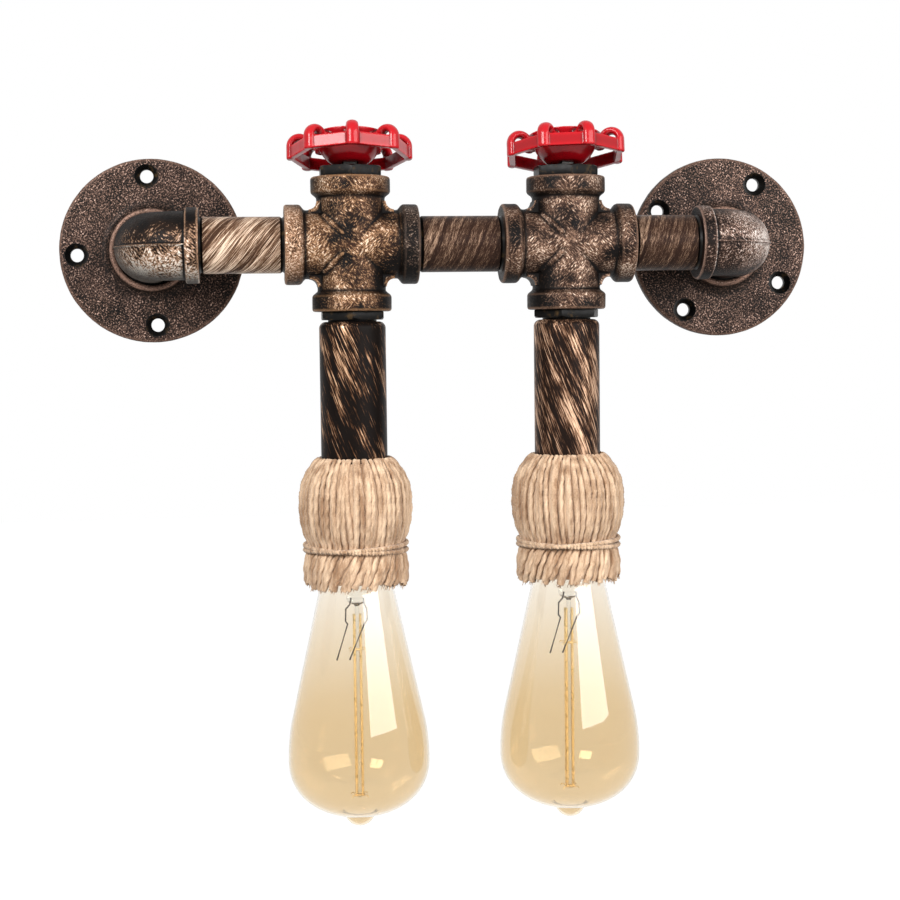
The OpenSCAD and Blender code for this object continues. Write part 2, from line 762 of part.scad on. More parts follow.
// Outline of the bulb's outside, drawn in by t, from the neck down to the dome
function bulb_side(t) = concat(
  [
    [neck_r - t, cap_end + neck_in],
    [neck_r - t, cap_end],
    [throat_r - t, cap_end - throat_drop]
  ],
  [for (k = [4 : -1 : 1]) let (d = shoulder_rise * k / 4)
    [(bulb_r - t) * sqrt(1 - pow(d / shoulder_h, 2)), bulb_z + d]]);

// Outline of the dome, drawn in by t, from the widest part down to radius r_end
function bulb_dome(t, r_end) = [for (k = [0 : 12])
  let (
    r = (bulb_r - t) + (r_end - bulb_r + t) * pow(k / 12, 2),
    d = (dome_h - t) * pow(1 - pow(r / (bulb_r - t), dome_power), 1 / dome_power))
  [r, bulb_z - d]];

module bulb_glass(x) {
  inside = concat(bulb_side(glass_t), bulb_dome(glass_t, 0));
  color("#d98a2b", 0.55) on_drop(x) rotate_extrude() polygon(concat(
    bulb_side(0),
    bulb_dome(0, tip_r),
    arc(0, bulb_z - dome_h, tip_r * 0.8, tip_h, 0, -90, 6),
    [for (k = [len(inside) - 1 : -1 : 0]) inside[k]]));
}

module bulb_cap(x) {
  inner_r = cap_r - cap_wall;
  color("#b08d3c") on_drop(x) rotate_extrude() polygon(concat(
    [[cap_glass_r, cap_shoulder + 2], [cap_r - cap_thread, cap_shoulder + 1]],
    thread_points(cap_r, cap_thread, cap_shoulder, cap_thread_end, cap_turns),
    [[cap_r, cap_end], [inner_r, cap_end]],
    thread_points(inner_r, cap_thread, cap_thread_end, cap_shoulder, cap_turns),
    [[cap_glass_r, cap_shoulder + 2 - cap_wall * 2]]));
}

module cap_contact(x) {
  glass_z = cap_shoulder + 2;
  color("#3a3230") on_drop(x) union() {
    translate([0, 0, glass_z]) cylinder(r1 = cap_glass_r, r2 = cap_contact_r, h = cap_top - glass_z - 1);
    translate([0, 0, cap_top - 1]) cylinder(r = cap_contact_r, h = 1);
  }
}

module glass_stem(x) {
  color("#dfe6e6", 0.6) on_drop(x) rotate_extrude() polygon([
    [0, stem_top],
    [stem_flare_r, stem_top],
    [stem_flare_r, stem_top - 2],
    [stem_r, stem_top - 8],
    [stem_r, pinch_z + 4],
    [stem_r * 0.7, pinch_z],
    [arbor_r, pinch_z],
    [arbor_r, rod_end_z],
    [0, rod_end_z]
  ]);
}

// Round wire between two points
module wire(a, b, r) {
  v = b - a;
  translate(a) rotate([0, acos(v[2] / norm(v)), atan2(v[1], v[0])]) cylinder(r = r, h = norm(v));
}

module bulb_leads(x) {
  color("#55504a") on_drop(x) for (s = lead_wire_spread)
    wire([s[0], -filament_ring - 1, pinch_z - 0.1], [s[1], -filament_ring - 3, pinch_z - lead_wire_drop],
      lead_wire_r);
}

module filament(x) {
  reach = filament_ring + filament_r;
  color("#e0a93a") on_drop(x) difference() {
    union() {
      for (k = [1 : filament_count]) rotate(360 / filament_count * (k - 0.5)) {
        translate([filament_ring, 0, rod_end_z]) cylinder(r = filament_r, h = filament_top - rod_end_z);
        wire([arbor_r, 0, anchor_z], [anchor_l, 0, anchor_z], anchor_r);
        wire([arbor_r, 0, rod_end_z + 1], [anchor_l, 0, rod_end_z + 1], anchor_r);
      }
      translate([0, 0, rod_end_z + 0.5]) cylinder(r = reach, h = 1);
    }
    translate([0, 0, rod_end_z - overcut])
      cylinder(r = arbor_r + thread_clear, h = filament_top - rod_end_z + 2 * overcut);
  }
}

// Conductor from the wall through the left elbow and along the pipe to x_end. It lies dy
// towards the wall from the pipe axis and dz above it
module supply_lead(dy, dz, x_end) {
  y = dy - standoff;
  turn_r = bend_r - dy;
  translate([dy, y + turn_r, dz]) rotate([-90, 0, 0]) cylinder(r = lead_r, h = -y - turn_r);
  translate([dy + turn_r, y + turn_r, dz]) rotate(180) rotate_extrude(angle = 90)
    translate([turn_r, 0]) circle(r = lead_r);
  translate([dy + turn_r, y, dz]) rotate([0, 90, 0]) cylinder(r = lead_r, h = x_end - dy - turn_r);
}

module live_lead() {
  color("#6e3b1f") supply_lead(live_y, live_z, right_cross_x + tag_w / 2);
}

module neutral_lead() {
  color("#2f5fa8") supply_lead(neutral_y, neutral_z, right_cross_x + tag_w / 2);
}

module drop_leads(x) {
  switched_top = tag_end - 0.1;
  neutral_top = neutral_z - lead_r - 0.1;
  foot = base_top + 0.1;
  color("#3a3f4a") on_drop(x) {
    translate([0, -drop_lead_y, foot]) cylinder(r = lead_r, h = switched_top - foot);
    translate([0, drop_lead_y, foot]) cylinder(r = lead_r, h = neutral_top - foot);
  }
}

flange(0, left_flange_turn);  // flange_left
flange(right_flange_x, right_flange_turn);  // flange_right
elbow_left();
elbow_right();
nipple(elbow_reach, left_run);  // nipple_left
nipple(left_cross_x + cross_reach, middle_run);  // nipple_middle
nipple(right_cross_x + cross_reach, right_run);  // nipple_right
cross(left_cross_x);  // cross_left
cross(right_cross_x);  // cross_right
bonnet(left_cross_x);  // bonnet_left
bonnet(right_cross_x);  // bonnet_right
switch_case(left_cross_x);  // switch_case_left
switch_case(right_cross_x);  // switch_case_right
switch_tags(left_cross_x);  // switch_tags_left
switch_tags(right_cross_x);  // switch_tags_right
spindle(left_cross_x, 0);  // spindle_left
spindle(right_cross_x, right_wheel_turn);  // spindle_right
handwheel(left_cross_x, 0);  // handwheel_left
handwheel(right_cross_x, right_wheel_turn);  // handwheel_right
wheel_washer(left_cross_x);  // wheel_washer_left
wheel_washer(right_cross_x);  // wheel_washer_right
wheel_nut(left_cross_x);  // wheel_nut_left
wheel_nut(right_cross_x);  // wheel_nut_right
drop_bushing(left_cross_x, 30);  // drop_bushing_left
drop_bushing(right_cross_x, 30 + right_drop_turn);  // drop_bushing_right
holder_rod(left_cross_x);  // holder_rod_left
holder_rod(right_cross_x);  // holder_rod_right
drop_tube(left_cross_x);  // drop_tube_left
drop_tube(right_cross_x);  // drop_tube_right
lampholder(left_cross_x);  // lampholder_left
lampholder(right_cross_x);  // lampholder_right
holder_base(left_cross_x);  // holder_base_left
holder_base(right_cross_x);  // holder_base_right
terminal_screws(left_cross_x);  // terminal_screws_left
terminal_screws(right_cross_x);  // terminal_screws_right
centre_contact(left_cross_x);  // centre_contact_left
centre_contact(right_cross_x);  // centre_contact_right
screw_shell(left_cross_x);  // screw_shell_left
screw_shell(right_cross_x);  // screw_shell_right
twine_cover(left_cross_x);  // twine_cover_left
twine_cover(right_cross_x);  // twine_cover_right
tie_twine(left_cross_x);  // tie_twine_left
tie_twine(right_cross_x);  // tie_twine_right
bulb_glass(left_cross_x);  // bulb_glass_left
bulb_glass(right_cross_x);  // bulb_glass_right
bulb_cap(left_cross_x);  // bulb_cap_left
bulb_cap(right_cross_x);  // bulb_cap_right
cap_contact(left_cross_x);  // cap_contact_left
cap_contact(right_cross_x);  // cap_contact_right
glass_stem(left_cross_x);  // glass_stem_left
glass_stem(right_cross_x);  // glass_stem_right
bulb_leads(left_cross_x);  // bulb_leads_left
bulb_leads(right_cross_x);  // bulb_leads_right
filament(left_cross_x);  // filament_left
filament(right_cross_x);  // filament_right
live_lead();
neutral_lead();
drop_leads(left_cross_x);  // drop_leads_left
drop_leads(right_cross_x);  // drop_leads_right
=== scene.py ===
# %% [markdown]
# A pipe wall light: two wall flanges, elbows, short pipes and two crosses, with a red
# handwheel above each cross and a bulb in a twine cover below it. The solids come ready
# made as a frame, in metres, with the wall at y = 0. This lesson dresses them: each piece
# that the eye meets is modelled again with its soft edges, and gets the finish it has in life.

# %% Load the frame
import json
import math
import random

import bpy
from mathutils import Matrix, Vector, kdtree

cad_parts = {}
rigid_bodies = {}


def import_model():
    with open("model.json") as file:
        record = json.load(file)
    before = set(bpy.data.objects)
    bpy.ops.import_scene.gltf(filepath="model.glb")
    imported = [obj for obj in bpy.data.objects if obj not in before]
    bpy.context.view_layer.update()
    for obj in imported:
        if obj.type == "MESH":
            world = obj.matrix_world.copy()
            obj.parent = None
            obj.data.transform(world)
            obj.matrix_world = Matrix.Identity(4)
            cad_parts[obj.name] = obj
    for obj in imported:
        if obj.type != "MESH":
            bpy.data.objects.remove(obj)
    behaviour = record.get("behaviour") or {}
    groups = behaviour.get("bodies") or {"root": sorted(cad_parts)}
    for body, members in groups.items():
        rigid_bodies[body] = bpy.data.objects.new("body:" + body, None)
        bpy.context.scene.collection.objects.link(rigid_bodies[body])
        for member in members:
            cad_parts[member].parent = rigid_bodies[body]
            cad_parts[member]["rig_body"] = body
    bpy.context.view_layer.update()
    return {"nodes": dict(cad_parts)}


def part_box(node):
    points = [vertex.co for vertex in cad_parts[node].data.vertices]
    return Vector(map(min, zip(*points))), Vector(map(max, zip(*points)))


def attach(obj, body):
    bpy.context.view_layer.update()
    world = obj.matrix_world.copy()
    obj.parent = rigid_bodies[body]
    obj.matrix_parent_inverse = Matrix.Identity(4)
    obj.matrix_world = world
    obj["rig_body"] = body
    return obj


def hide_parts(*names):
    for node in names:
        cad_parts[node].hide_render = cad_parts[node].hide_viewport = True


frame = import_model()
MM = 0.001
PIPE_Y = -48.0  # the line of pipes stands 48 mm off the wall
cross_x = {}
for side in ("left", "right"):
    low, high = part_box(f"cross_{side}")
    cross_x[side] = (low.x + high.x) / 2 / MM
low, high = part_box("flange_right")
flange_x = {"left": 0.0, "right": (low.x + high.x) / 2 / MM}
print("crosses at", cross_x, "flanges at", flange_x)

# %% [markdown]
# The camera comes first, because every shape is judged through it. Its place was worked
# out from the flanges, crosses and bulbs in the photograph: a little left of the middle,
# slightly low, about 0.8 m away, with a short telephoto lens.

# %% Set the camera
eye = Vector((46.6, -809.2, -40.0)) * MM
yaw, pitch, roll = (math.radians(angle) for angle in (6.49, -3.92, -0.70))
ahead = Vector((math.sin(yaw) * math.cos(pitch), math.cos(yaw) * math.cos(pitch), math.sin(pitch)))
across = Vector((math.cos(yaw), -math.sin(yaw), 0))
above = across.cross(ahead)
rolled_across = across * math.cos(roll) + above * math.sin(roll)
rolled_above = above * math.cos(roll) - across * math.sin(roll)
bpy.ops.object.camera_add()
camera = bpy.context.object
camera.data.lens = 68.0
camera.data.sensor_width = 36.0
camera.matrix_world = Matrix.Translation(eye) @ Matrix(
    (rolled_across, rolled_above, -ahead)).transposed().to_4x4()
bpy.context.scene.camera = camera
print("camera", camera.data.lens, "mm at", [round(v, 3) for v in eye])

# %% [markdown]
# Round pieces are turned, as on a lathe: half of the outline is drawn point by point
# and spun once round the upright axis. Almost everything here starts that way, so the
# lathe is the first tool on the bench. Points are radius and height in millimetres.

# %% The lathe
def pick(*pieces):
    """Leave edit mode and select these pieces alone, the first one active"""
    if bpy.context.object and bpy.context.object.mode != "OBJECT":
        bpy.ops.object.mode_set(mode="OBJECT")
    bpy.ops.object.select_all(action="DESELECT")
    for piece in pieces:
        piece.select_set(True)
    if pieces:
        bpy.context.view_layer.objects.active = pieces[0]


def close_skin(piece):
    """Merge doubled points, drop loose edges and turn every face outwards"""
    pick(piece)
    bpy.ops.object.mode_set(mode="EDIT")
    bpy.ops.mesh.select_all(action="SELECT")
    bpy.ops.mesh.remove_doubles(threshold=MM / 1000)
    bpy.ops.mesh.delete_loose()
    bpy.ops.mesh.select_all(action="SELECT")
    bpy.ops.mesh.normals_make_consistent(inside=False)
    bpy.ops.object.mode_set(mode="OBJECT")
    return piece


def turned(name, outline, steps=96):
    """Draw an outline of radius and height in mm, and spin it round Z"""
    pick()
    bpy.ops.mesh.primitive_plane_add(size=MM)
    piece = bpy.context.object
    piece.name = name
    bpy.ops.object.mode_set(mode="EDIT")
    bpy.ops.mesh.select_mode(type="VERT")
    bpy.ops.mesh.select_all(action="SELECT")
    bpy.ops.mesh.merge(type="CENTER")
    bpy.ops.transform.translate(value=(outline[0][0] * MM, 0, outline[0][1] * MM))
    for (r0, h0), (r1, h1) in zip(outline, outline[1:]):
        step = ((r1 - r0) * MM, 0, (h1 - h0) * MM)
        bpy.ops.mesh.extrude_vertices_move(TRANSFORM_OT_translate={"value": step})
    bpy.ops.mesh.select_all(action="SELECT")
    bpy.ops.mesh.spin(steps=steps, angle=math.tau, center=(0, 0, 0), axis=(0, 0, 1))
    return close_skin(piece)


def placed(piece, at=(0, 0, 0), turn=(0, 0, 0)):
    """Move and turn a piece, in mm and degrees, and put its place into its mesh"""
    pick(piece)
    piece.location = [MM * v for v in at]
    piece.rotation_euler = [math.radians(v) for v in turn]
    bpy.ops.object.transform_apply(location=True, rotation=True, scale=True)
    return piece


def copied(piece, name):
    """Copy a piece with a mesh of its own"""
    pick(piece)
    bpy.ops.object.duplicate()
    bpy.context.object.name = name
    return bpy.context.object


def cleared(*pieces):
    """Take finished-with patterns and cutters off the bench"""
    pick(*pieces)
    bpy.ops.object.delete()


def worked(piece, kind, **settings):
    """Add a modifier, set it and apply it"""
    pick(piece)
    bpy.ops.object.modifier_add(type=kind)
    tool = piece.modifiers[-1]
    for key, value in settings.items():
        setattr(tool, key, value)
    bpy.ops.object.modifier_apply(modifier=tool.name)
    return piece


def ringed(piece, count):
    """Repeat a piece round the Z axis, count times in all"""
    pick(piece)
    bpy.ops.object.mode_set(mode="EDIT")
    bpy.ops.mesh.select_all(action="SELECT")
    bpy.ops.mesh.spin(steps=count - 1, dupli=True, angle=math.tau * (count - 1) / count,
                      center=(0, 0, 0), axis=(0, 0, 1))
    bpy.ops.object.mode_set(mode="OBJECT")
    return piece


def cut(piece, *cutters):
    """Cut shapes out of a piece and clear them away"""
    for cutter in cutters:
        worked(piece, "BOOLEAN", operation="DIFFERENCE", solver="EXACT", object=cutter)
    cleared(*cutters)
    return piece


print("lathe ready")

# %% [markdown]
# A finish is made of nodes. A few small functions are enough for all of them: one turns a
# colour as a painter writes it into the linear numbers that light needs, and one adds a
# node with its settings and links.

# %% Tools for finishes
def srgb(code):
    """Turn a hex colour into linear red, green, blue and alpha"""
    parts = [int(code[i:i + 2], 16) / 255 for i in (1, 3, 5)]
    return [c / 12.92 if c <= 0.04045 else ((c + 0.055) / 1.055) ** 2.4 for c in parts] + [1.0]


def fill(tree, node, inputs):
    """Set a node's sockets, or link them where the value is another node's output"""
    for key, value in inputs.items():
        if isinstance(value, bpy.types.NodeSocket):
            tree.links.new(value, node.inputs[key])
        else:
            node.inputs[key].default_value = value


def add(tree, kind, inputs, out=0, **settings):
    """Add a node with its settings and links, and return one of its outputs"""
    node = tree.nodes.new(kind)
    for key, value in settings.items():
        setattr(node, key, value)
    fill(tree, node, inputs)
    return node.outputs[out]


def new_finish(name):
    """Start a material and return it with its tree and its shader"""
    material = bpy.data.materials.new(name)
    material.use_nodes = True
    return material, material.node_tree, material.node_tree.nodes["Principled BSDF"]


finishes = {}
print("white is", srgb("#ffffff"))

# %% [markdown]
# Six kinds of node come up again and again, so each gets a short name. A pattern is mostly
# noise, cut to a clear range by a ramp, reckoned together with another one, and used to mix
# two colours or to dent the surface. Sizes are given in millimetres on the real piece.

# %% Patterns
def coordinate(tree, kind="Object"):
    """Where a point lies on its piece, or with "Normal" which way it faces"""
    return add(tree, "ShaderNodeTexCoord", {}, out=kind)


def noise(tree, where, size, detail=2.0, roughness=0.5):
    """Cloudy noise with features of this many mm"""
    return add(tree, "ShaderNodeTexNoise",
               {"Vector": where, "Scale": 1 / (size * MM), "Detail": detail, "Roughness": roughness})


def ramp(tree, value, start, end, low=0.0, high=1.0):
    """Go from low to high while a value goes from start to end"""
    return add(tree, "ShaderNodeMapRange",
               {"Value": value, "From Min": start, "From Max": end, "To Min": low, "To Max": high})


def reckon(tree, operation, *values):
    """Do one sum with two or three values"""
    return add(tree, "ShaderNodeMath", dict(enumerate(values)), operation=operation)


def mixed(tree, share, one, other):
    """Mix one colour with a share of the other"""
    return add(tree, "ShaderNodeMix", {0: share, 6: one, 7: other}, out=2, data_type="RGBA")


def embossed(tree, height, strength, depth):
    """Dent a surface by a pattern, at most depth mm"""
    return add(tree, "ShaderNodeBump", {"Height": height, "Strength": strength, "Distance": depth * MM})


print("pattern tools ready")

# %% [markdown]
# Antique bronze paint on sand-cast iron. The casting is rough, the paint is nearly black,
# and gold is then wiped over it with an almost dry brush, so it stays on the grains and the
# raised edges and never reaches the creases. Shade is painted in too: the brown paint and the
# gold grow dark on faces turned away from the front and in the creases, and a pale painted
# highlight lies on the strongest strokes and on faces turned one given way. The flange plates
# keep a fine pepper of gold; the elbows and crosses were wiped in short strokes, this way and
# that. Each casting carries an attribute, relief, that says how far a point stands out of its
# surroundings, and the piece's own normal says which faces look to the front. The pepper is
# drawn a little coarser than the real grit, so that it shows.

# %% Cast bronze finishes
def cast_finish(name, colours, share, patchy, grain, stroke, limb_light, highlight_toward=(0.0, 0.0, 0.0)):
    """Dark, brown, gold and pale paint on a casting

    share is how much gold there is and patchy how unevenly it lies. limb is how much of the
    brown paint and the gold stays on faces turned away from the front, a painted shade, and
    highlight_toward the way that faces turn to get more gold and the pale tone, a painted highlight;
    the pale colour itself is that painted highlight. grain and stroke are in mm.
    """
    dark, brown, gold, pale = (srgb(code) for code in colours)
    material, tree, shader = new_finish(name)
    here = coordinate(tree)
    normal = coordinate(tree, "Normal")
    depth = add(tree, "ShaderNodeSeparateXYZ", {"Vector": normal}, out="Y")
    # painted shade: faces turned away from the front keep less of the brown paint and the gold
    front_light = ramp(tree, depth, -0.3, -0.95, low=limb_light)
    drift = noise(tree, here, 13)
    grit = noise(tree, here, grain, roughness=0.6)
    # strokes of two slopes, one or the other from place to place
    hatches = []
    for slope in (40, -48):
        slanted = add(tree, "ShaderNodeMapping",
                      {"Vector": here, "Rotation": (0.0, math.radians(slope), 0.0),
                       "Scale": (1.0, 1.0, stroke / grain)}, vector_type="TEXTURE")
        hatches.append(noise(tree, slanted, grain))
    way = noise(tree, here, 8, detail=1.0)
    swing = ramp(tree, way, 0.45, 0.55)
    hatch = add(tree, "ShaderNodeMix", {0: swing, 2: hatches[0], 3: hatches[1]}, data_type="FLOAT")
    # how much gold the brush left
    load = reckon(tree, "MULTIPLY_ADD", drift, patchy, share - patchy / 2)
    # painted highlight: faces turned the given way get more gold and more of the pale tone
    highlight_facing = add(tree, "ShaderNodeVectorMath", {0: normal, 1: highlight_toward}, out="Value",
                 operation="DOT_PRODUCT")
    reach = reckon(tree, "ADD", load, highlight_facing)
    lift = reckon(tree, "ADD", hatch, reach)
    wipe = ramp(tree, lift, 0.46, 0.66, high=0.9)
    # the pale tone on the strongest strokes is a painted highlight
    painted_glint = ramp(tree, lift, 0.6, 0.76, high=0.9)
    # little of it in pits, none in creases, some on every raised edge
    pit = ramp(tree, grit, 0.36, 0.48, low=0.15)
    relief = add(tree, "ShaderNodeAttribute", {}, out="Fac", attribute_name="relief")
    edge = ramp(tree, relief, 0.16, 0.5, high=0.9)
    # no gold in the creases, and the brown paint goes dark there as painted shade
    open_skin = ramp(tree, relief, -0.3, -0.04)
    bare = reckon(tree, "MULTIPLY", open_skin, front_light)
    grained = reckon(tree, "MULTIPLY", wipe, pit)
    brushed_on = reckon(tree, "MULTIPLY", grained, bare)
    rubbed = reckon(tree, "MULTIPLY", edge, pit)
    worn = reckon(tree, "MAXIMUM", brushed_on, rubbed)
    # the paint below with its painted shade, the gold on it with its painted highlight, and the grit of the
    # casting
    patch = ramp(tree, drift, 0.38, 0.62)
    brown_out_of_shade = reckon(tree, "MULTIPLY", patch, bare)
    base = mixed(tree, brown_out_of_shade, dark, brown)
    tone = mixed(tree, painted_glint, gold, pale)
    colour = mixed(tree, worn, base, tone)
    shine = ramp(tree, worn, 0.0, 1.0, high=0.5)
    rough = ramp(tree, grit, 0.3, 0.7, low=0.36, high=0.58)
    bump = embossed(tree, grit, 0.55, 0.25)
    fill(tree, shader, {"Base Color": colour, "Metallic": shine, "Roughness": rough, "Normal": bump,
                        "Specular IOR Level": 0.08})
    return material


finishes["cast_plate"] = cast_finish(
    "Antique bronze paint on a cast plate", ("#0e0a08", "#1e1613", "#86695b", "#d3b7a8"),
    share=-0.01, patchy=0.16, grain=0.7, stroke=0.7, limb_light=0.85)
finishes["cast_bronze"] = cast_finish(
    "Antique bronze paint on a cast fitting", ("#0a0706", "#472e20", "#ad835f", "#fbe6cd"),
    share=-0.01, patchy=0.7, grain=0.5, stroke=1.6, limb_light=0.08, highlight_toward=(-0.06, 0.0, 0.0))
# the two elbows: the same finish with its painted highlight below, or on the right-hand end
finishes["cast_elbow_highlight_below"] = cast_finish(
    "Antique bronze wiped on a cast elbow", ("#060404", "#26180f", "#c69c7d", "#fff8ec"),
    share=-0.01, patchy=0.75, grain=0.75, stroke=2.0, limb_light=0.12, highlight_toward=(0.0, 0.0, -0.28))
# the two bands of the left cross: one copy of the finish painted as lit, one painted as shaded
finishes["cast_band_painted_lit"] = cast_finish(
    "Antique bronze on a cast band, painted as lit", ("#1c120d", "#5c3f2d", "#b98f70", "#f6dfc8"),
    share=0.06, patchy=0.4, grain=0.5, stroke=1.2, limb_light=0.35)
finishes["cast_band_painted_shaded"] = cast_finish(
    "Antique bronze on a cast band, painted as shaded", ("#0a0807", "#1f1815", "#715c4f", "#d2bfae"),
    share=-0.03, patchy=0.5, grain=0.5, stroke=1.2, limb_light=0.2)
finishes["cast_brown"] = cast_finish(
    "Darker antique bronze on a cast fitting", ("#0a0706", "#3f2c23", "#967560", "#f4dfca"),
    share=-0.015, patchy=0.65, grain=0.5, stroke=1.6, limb_light=0.1)
finishes["cast_elbow_highlight_right"] = cast_finish(
    "Paler antique bronze on a cast elbow", ("#060404", "#211611", "#a88878", "#fff6ee"),
    share=-0.11, patchy=0.5, grain=0.5, stroke=1.2, limb_light=0.85, highlight_toward=(0.3, 0.0, 0.06))
print("cast finishes:", len(finishes))

# %% [markdown]
# The tubes are smooth steel in the same dark paint. On them the dry brush leaves long
# slanting strokes. A stroke that winds round a tube needs a coordinate that winds with it,
# so each tube carries an attribute, brush: its points turned round the tube's axis in step
# with their place along it. Noise that is drawn out along the tube then lies in spirals.

# %% Brushed bronze finish
def brushed_finish(name, colours, share, uneven, bristle_w, bristle_l):
    """Dark, brown, copper and gold paint on a tube

    share is how much gold there is and uneven how unevenly it lies. The mark that one bristle
    leaves is bristle_w wide and about bristle_l long, in mm.
    """
    dark, brown, copper, gold = (srgb(code) for code in colours)
    material, tree, shader = new_finish(name)
    wound = add(tree, "ShaderNodeAttribute", {}, out="Vector", attribute_name="brush")
    drawn = add(tree, "ShaderNodeMapping", {"Vector": wound, "Scale": (1.0, 1.0, bristle_w / bristle_l)})
    broad = add(tree, "ShaderNodeMapping", {"Vector": wound, "Scale": (1.0, 1.0, 0.22)})
    hair = noise(tree, drawn, bristle_w, roughness=0.65)
    swipe = noise(tree, broad, 7)
    load = reckon(tree, "MULTIPLY_ADD", swipe, uneven, share - uneven / 2)
    bristle = reckon(tree, "ADD", hair, load)
    stroke = ramp(tree, bristle, 0.52, 0.7, high=0.95)
    bright = ramp(tree, bristle, 0.58, 0.8)
    tone = mixed(tree, bright, copper, gold)
    paint = mixed(tree, swipe, dark, brown)
    colour = mixed(tree, stroke, paint, tone)
    shine = ramp(tree, stroke, 0.0, 1.0, high=0.45)
    ridge = embossed(tree, hair, 0.3, 0.15)
    fill(tree, shader, {"Base Color": colour, "Metallic": shine, "Roughness": 0.36, "Normal": ridge,
                        "Specular IOR Level": 0.04})
    return material


finishes["bronze_tube"] = brushed_finish(
    "Dry-brushed bronze paint on steel tube", ("#090706", "#1b1411", "#7d5337", "#dcb693"),
    share=-0.03, uneven=0.8, bristle_w=0.6, bristle_l=8.6)
finishes["gilt_tube"] = brushed_finish(
    "Freely brushed bronze paint on steel tube", ("#0b0807", "#2a1d17", "#875f46", "#dcb89a"),
    share=0.045, uneven=0.8, bristle_w=0.6, bristle_l=8.6)
finishes["bronze_pipe"] = brushed_finish(
    "Well-brushed bronze paint on steel pipe", ("#1d130e", "#573d2e", "#9c765a", "#f2dcc4"),
    share=0.075, uneven=0.55, bristle_w=0.5, bristle_l=7.1)
finishes["brown_pipe"] = brushed_finish(
    "Thinly brushed bronze paint on steel pipe", ("#130c0a", "#3a2820", "#6b4f3c", "#b89a82"),
    share=-0.018, uneven=0.6, bristle_w=0.4, bristle_l=1.2)


def brushed(piece, axis, slant, middle):
    """Write the brush attribute: points turned by slant degrees for each mm along the axis"""
    line = piece.data.attributes.new("brush", "FLOAT_VECTOR", "POINT")
    u, v = [i for i in range(3) if i != axis]
    for index, point in enumerate(piece.data.vertices):
        place = [point.co[i] - middle[i] * MM for i in range(3)]
        turn = math.radians(slant) * place[axis] / MM
        line.data[index].vector = (
            place[u] * math.cos(turn) - place[v] * math.sin(turn),
            place[u] * math.sin(turn) + place[v] * math.cos(turn),
            place[axis])


print("brushed finish made")

# %% [markdown]
# Red enamel on the handwheels: a thick gloss stove paint over a casting. It is painted darker
# in the hollows, as pooled enamel and as painted shade, and lighter on the raised edges as a
# painted highlight, and it has a faint ripple and a wet shine. Black lacquer on the hexagons is
# thinner and satin, and shows brown metal where it has been rubbed.

# %% Enamel and lacquer
material, tree, shader = new_finish("Red stove enamel on cast iron")
here = coordinate(tree)
peel = noise(tree, here, 2.6)
relief = add(tree, "ShaderNodeAttribute", {}, out="Fac", attribute_name="relief")
# painted shade and highlight: darker red in the hollows, as pooled enamel and shade, lighter red on raised
# edges
depth = ramp(tree, relief, -0.45, 0.1)
edge_highlight = ramp(tree, relief, 0.2, 0.7, high=0.6)
pooled_and_shaded = mixed(tree, depth, srgb("#47040a"), srgb("#ac0a16"))
red = mixed(tree, edge_highlight, pooled_and_shaded, srgb("#d62a33"))
ripple = embossed(tree, peel, 0.25, 0.3)
fill(tree, shader, {"Base Color": red, "Roughness": 0.3, "Specular IOR Level": 0.12, "Coat Weight": 0.35,
                    "Coat Roughness": 0.12, "Normal": ripple})
finishes["red_enamel"] = material

material, tree, shader = new_finish("Black lacquer on turned steel")
here = coordinate(tree)
drift = noise(tree, here, 3, detail=4.0)
rub = ramp(tree, drift, 0.55, 0.72, high=0.8)
colour = mixed(tree, rub, srgb("#0b0a09"), srgb("#46351f"))
rough = ramp(tree, drift, 0.3, 0.7, low=0.28, high=0.45)
dent = embossed(tree, drift, 0.2, 0.2)
fill(tree, shader, {"Base Color": colour, "Roughness": rough, "Specular IOR Level": 0.1, "Normal": dent})
finishes["black_hex"] = material
print("enamel and lacquer made")

# %% [markdown]
# Jute twine is a bundle of coarse dull fibres. Each strand has its own tan, and the fibres
# lie along it, so the noise is drawn out along the strand's height. A little sheen
# stands for the down of loose fibre ends that catches the light at the edges.

# %% Jute finish
material, tree, shader = new_finish("Twisted jute twine")
here = coordinate(tree)
upright = add(tree, "ShaderNodeMapping", {"Vector": here, "Scale": (1.0, 1.0, 0.12)})
fibre = noise(tree, upright, 0.4, detail=4.0, roughness=0.8)
strand_tone = noise(tree, upright, 3.2, detail=1.0)
blend = reckon(tree, "ADD", fibre, strand_tone)
share = ramp(tree, blend, 0.78, 1.22)
tan = mixed(tree, share, srgb("#957255"), srgb("#dcbe9f"))
nap = embossed(tree, fibre, 0.6, 0.35)
fill(tree, shader, {"Base Color": tan, "Roughness": 0.9, "Sheen Weight": 0.25, "Sheen Roughness": 0.5,
                    "Specular IOR Level": 0.2, "Normal": nap})
finishes["jute_twine"] = material
print("jute made")

# %% [markdown]
# The bulbs are soda-lime glass, sprayed inside with a thin amber film that fades out
# towards the neck. Light crosses four faces of the two walls on its way through, so each
# face carries only a quarter of the tint. The stem inside is plain clear glass.

# %% Glass finishes
material, tree, shader = new_finish("Amber-coated bulb glass")
here = coordinate(tree)
height = add(tree, "ShaderNodeSeparateXYZ", {"Vector": here}, out="Z")
film = ramp(tree, height, -145 * MM, -210 * MM, low=0.2)
tint = mixed(tree, film, srgb("#fffefc"), srgb("#ecdcc0"))
fill(tree, shader, {"Base Color": tint, "Roughness": 0.01, "IOR": 1.46, "Transmission Weight": 1.0})
finishes["amber_glass"] = material

material, tree, shader = new_finish("Clear stem glass")
here = coordinate(tree)
cord = noise(tree, here, 4, detail=1.0)
pale = mixed(tree, cord, srgb("#f4f8f8"), srgb("#ffffff"))
fill(tree, shader, {"Base Color": pale, "Roughness": 0.03, "IOR": 1.5, "Transmission Weight": 1.0})
finishes["clear_glass"] = material
print("glass made")

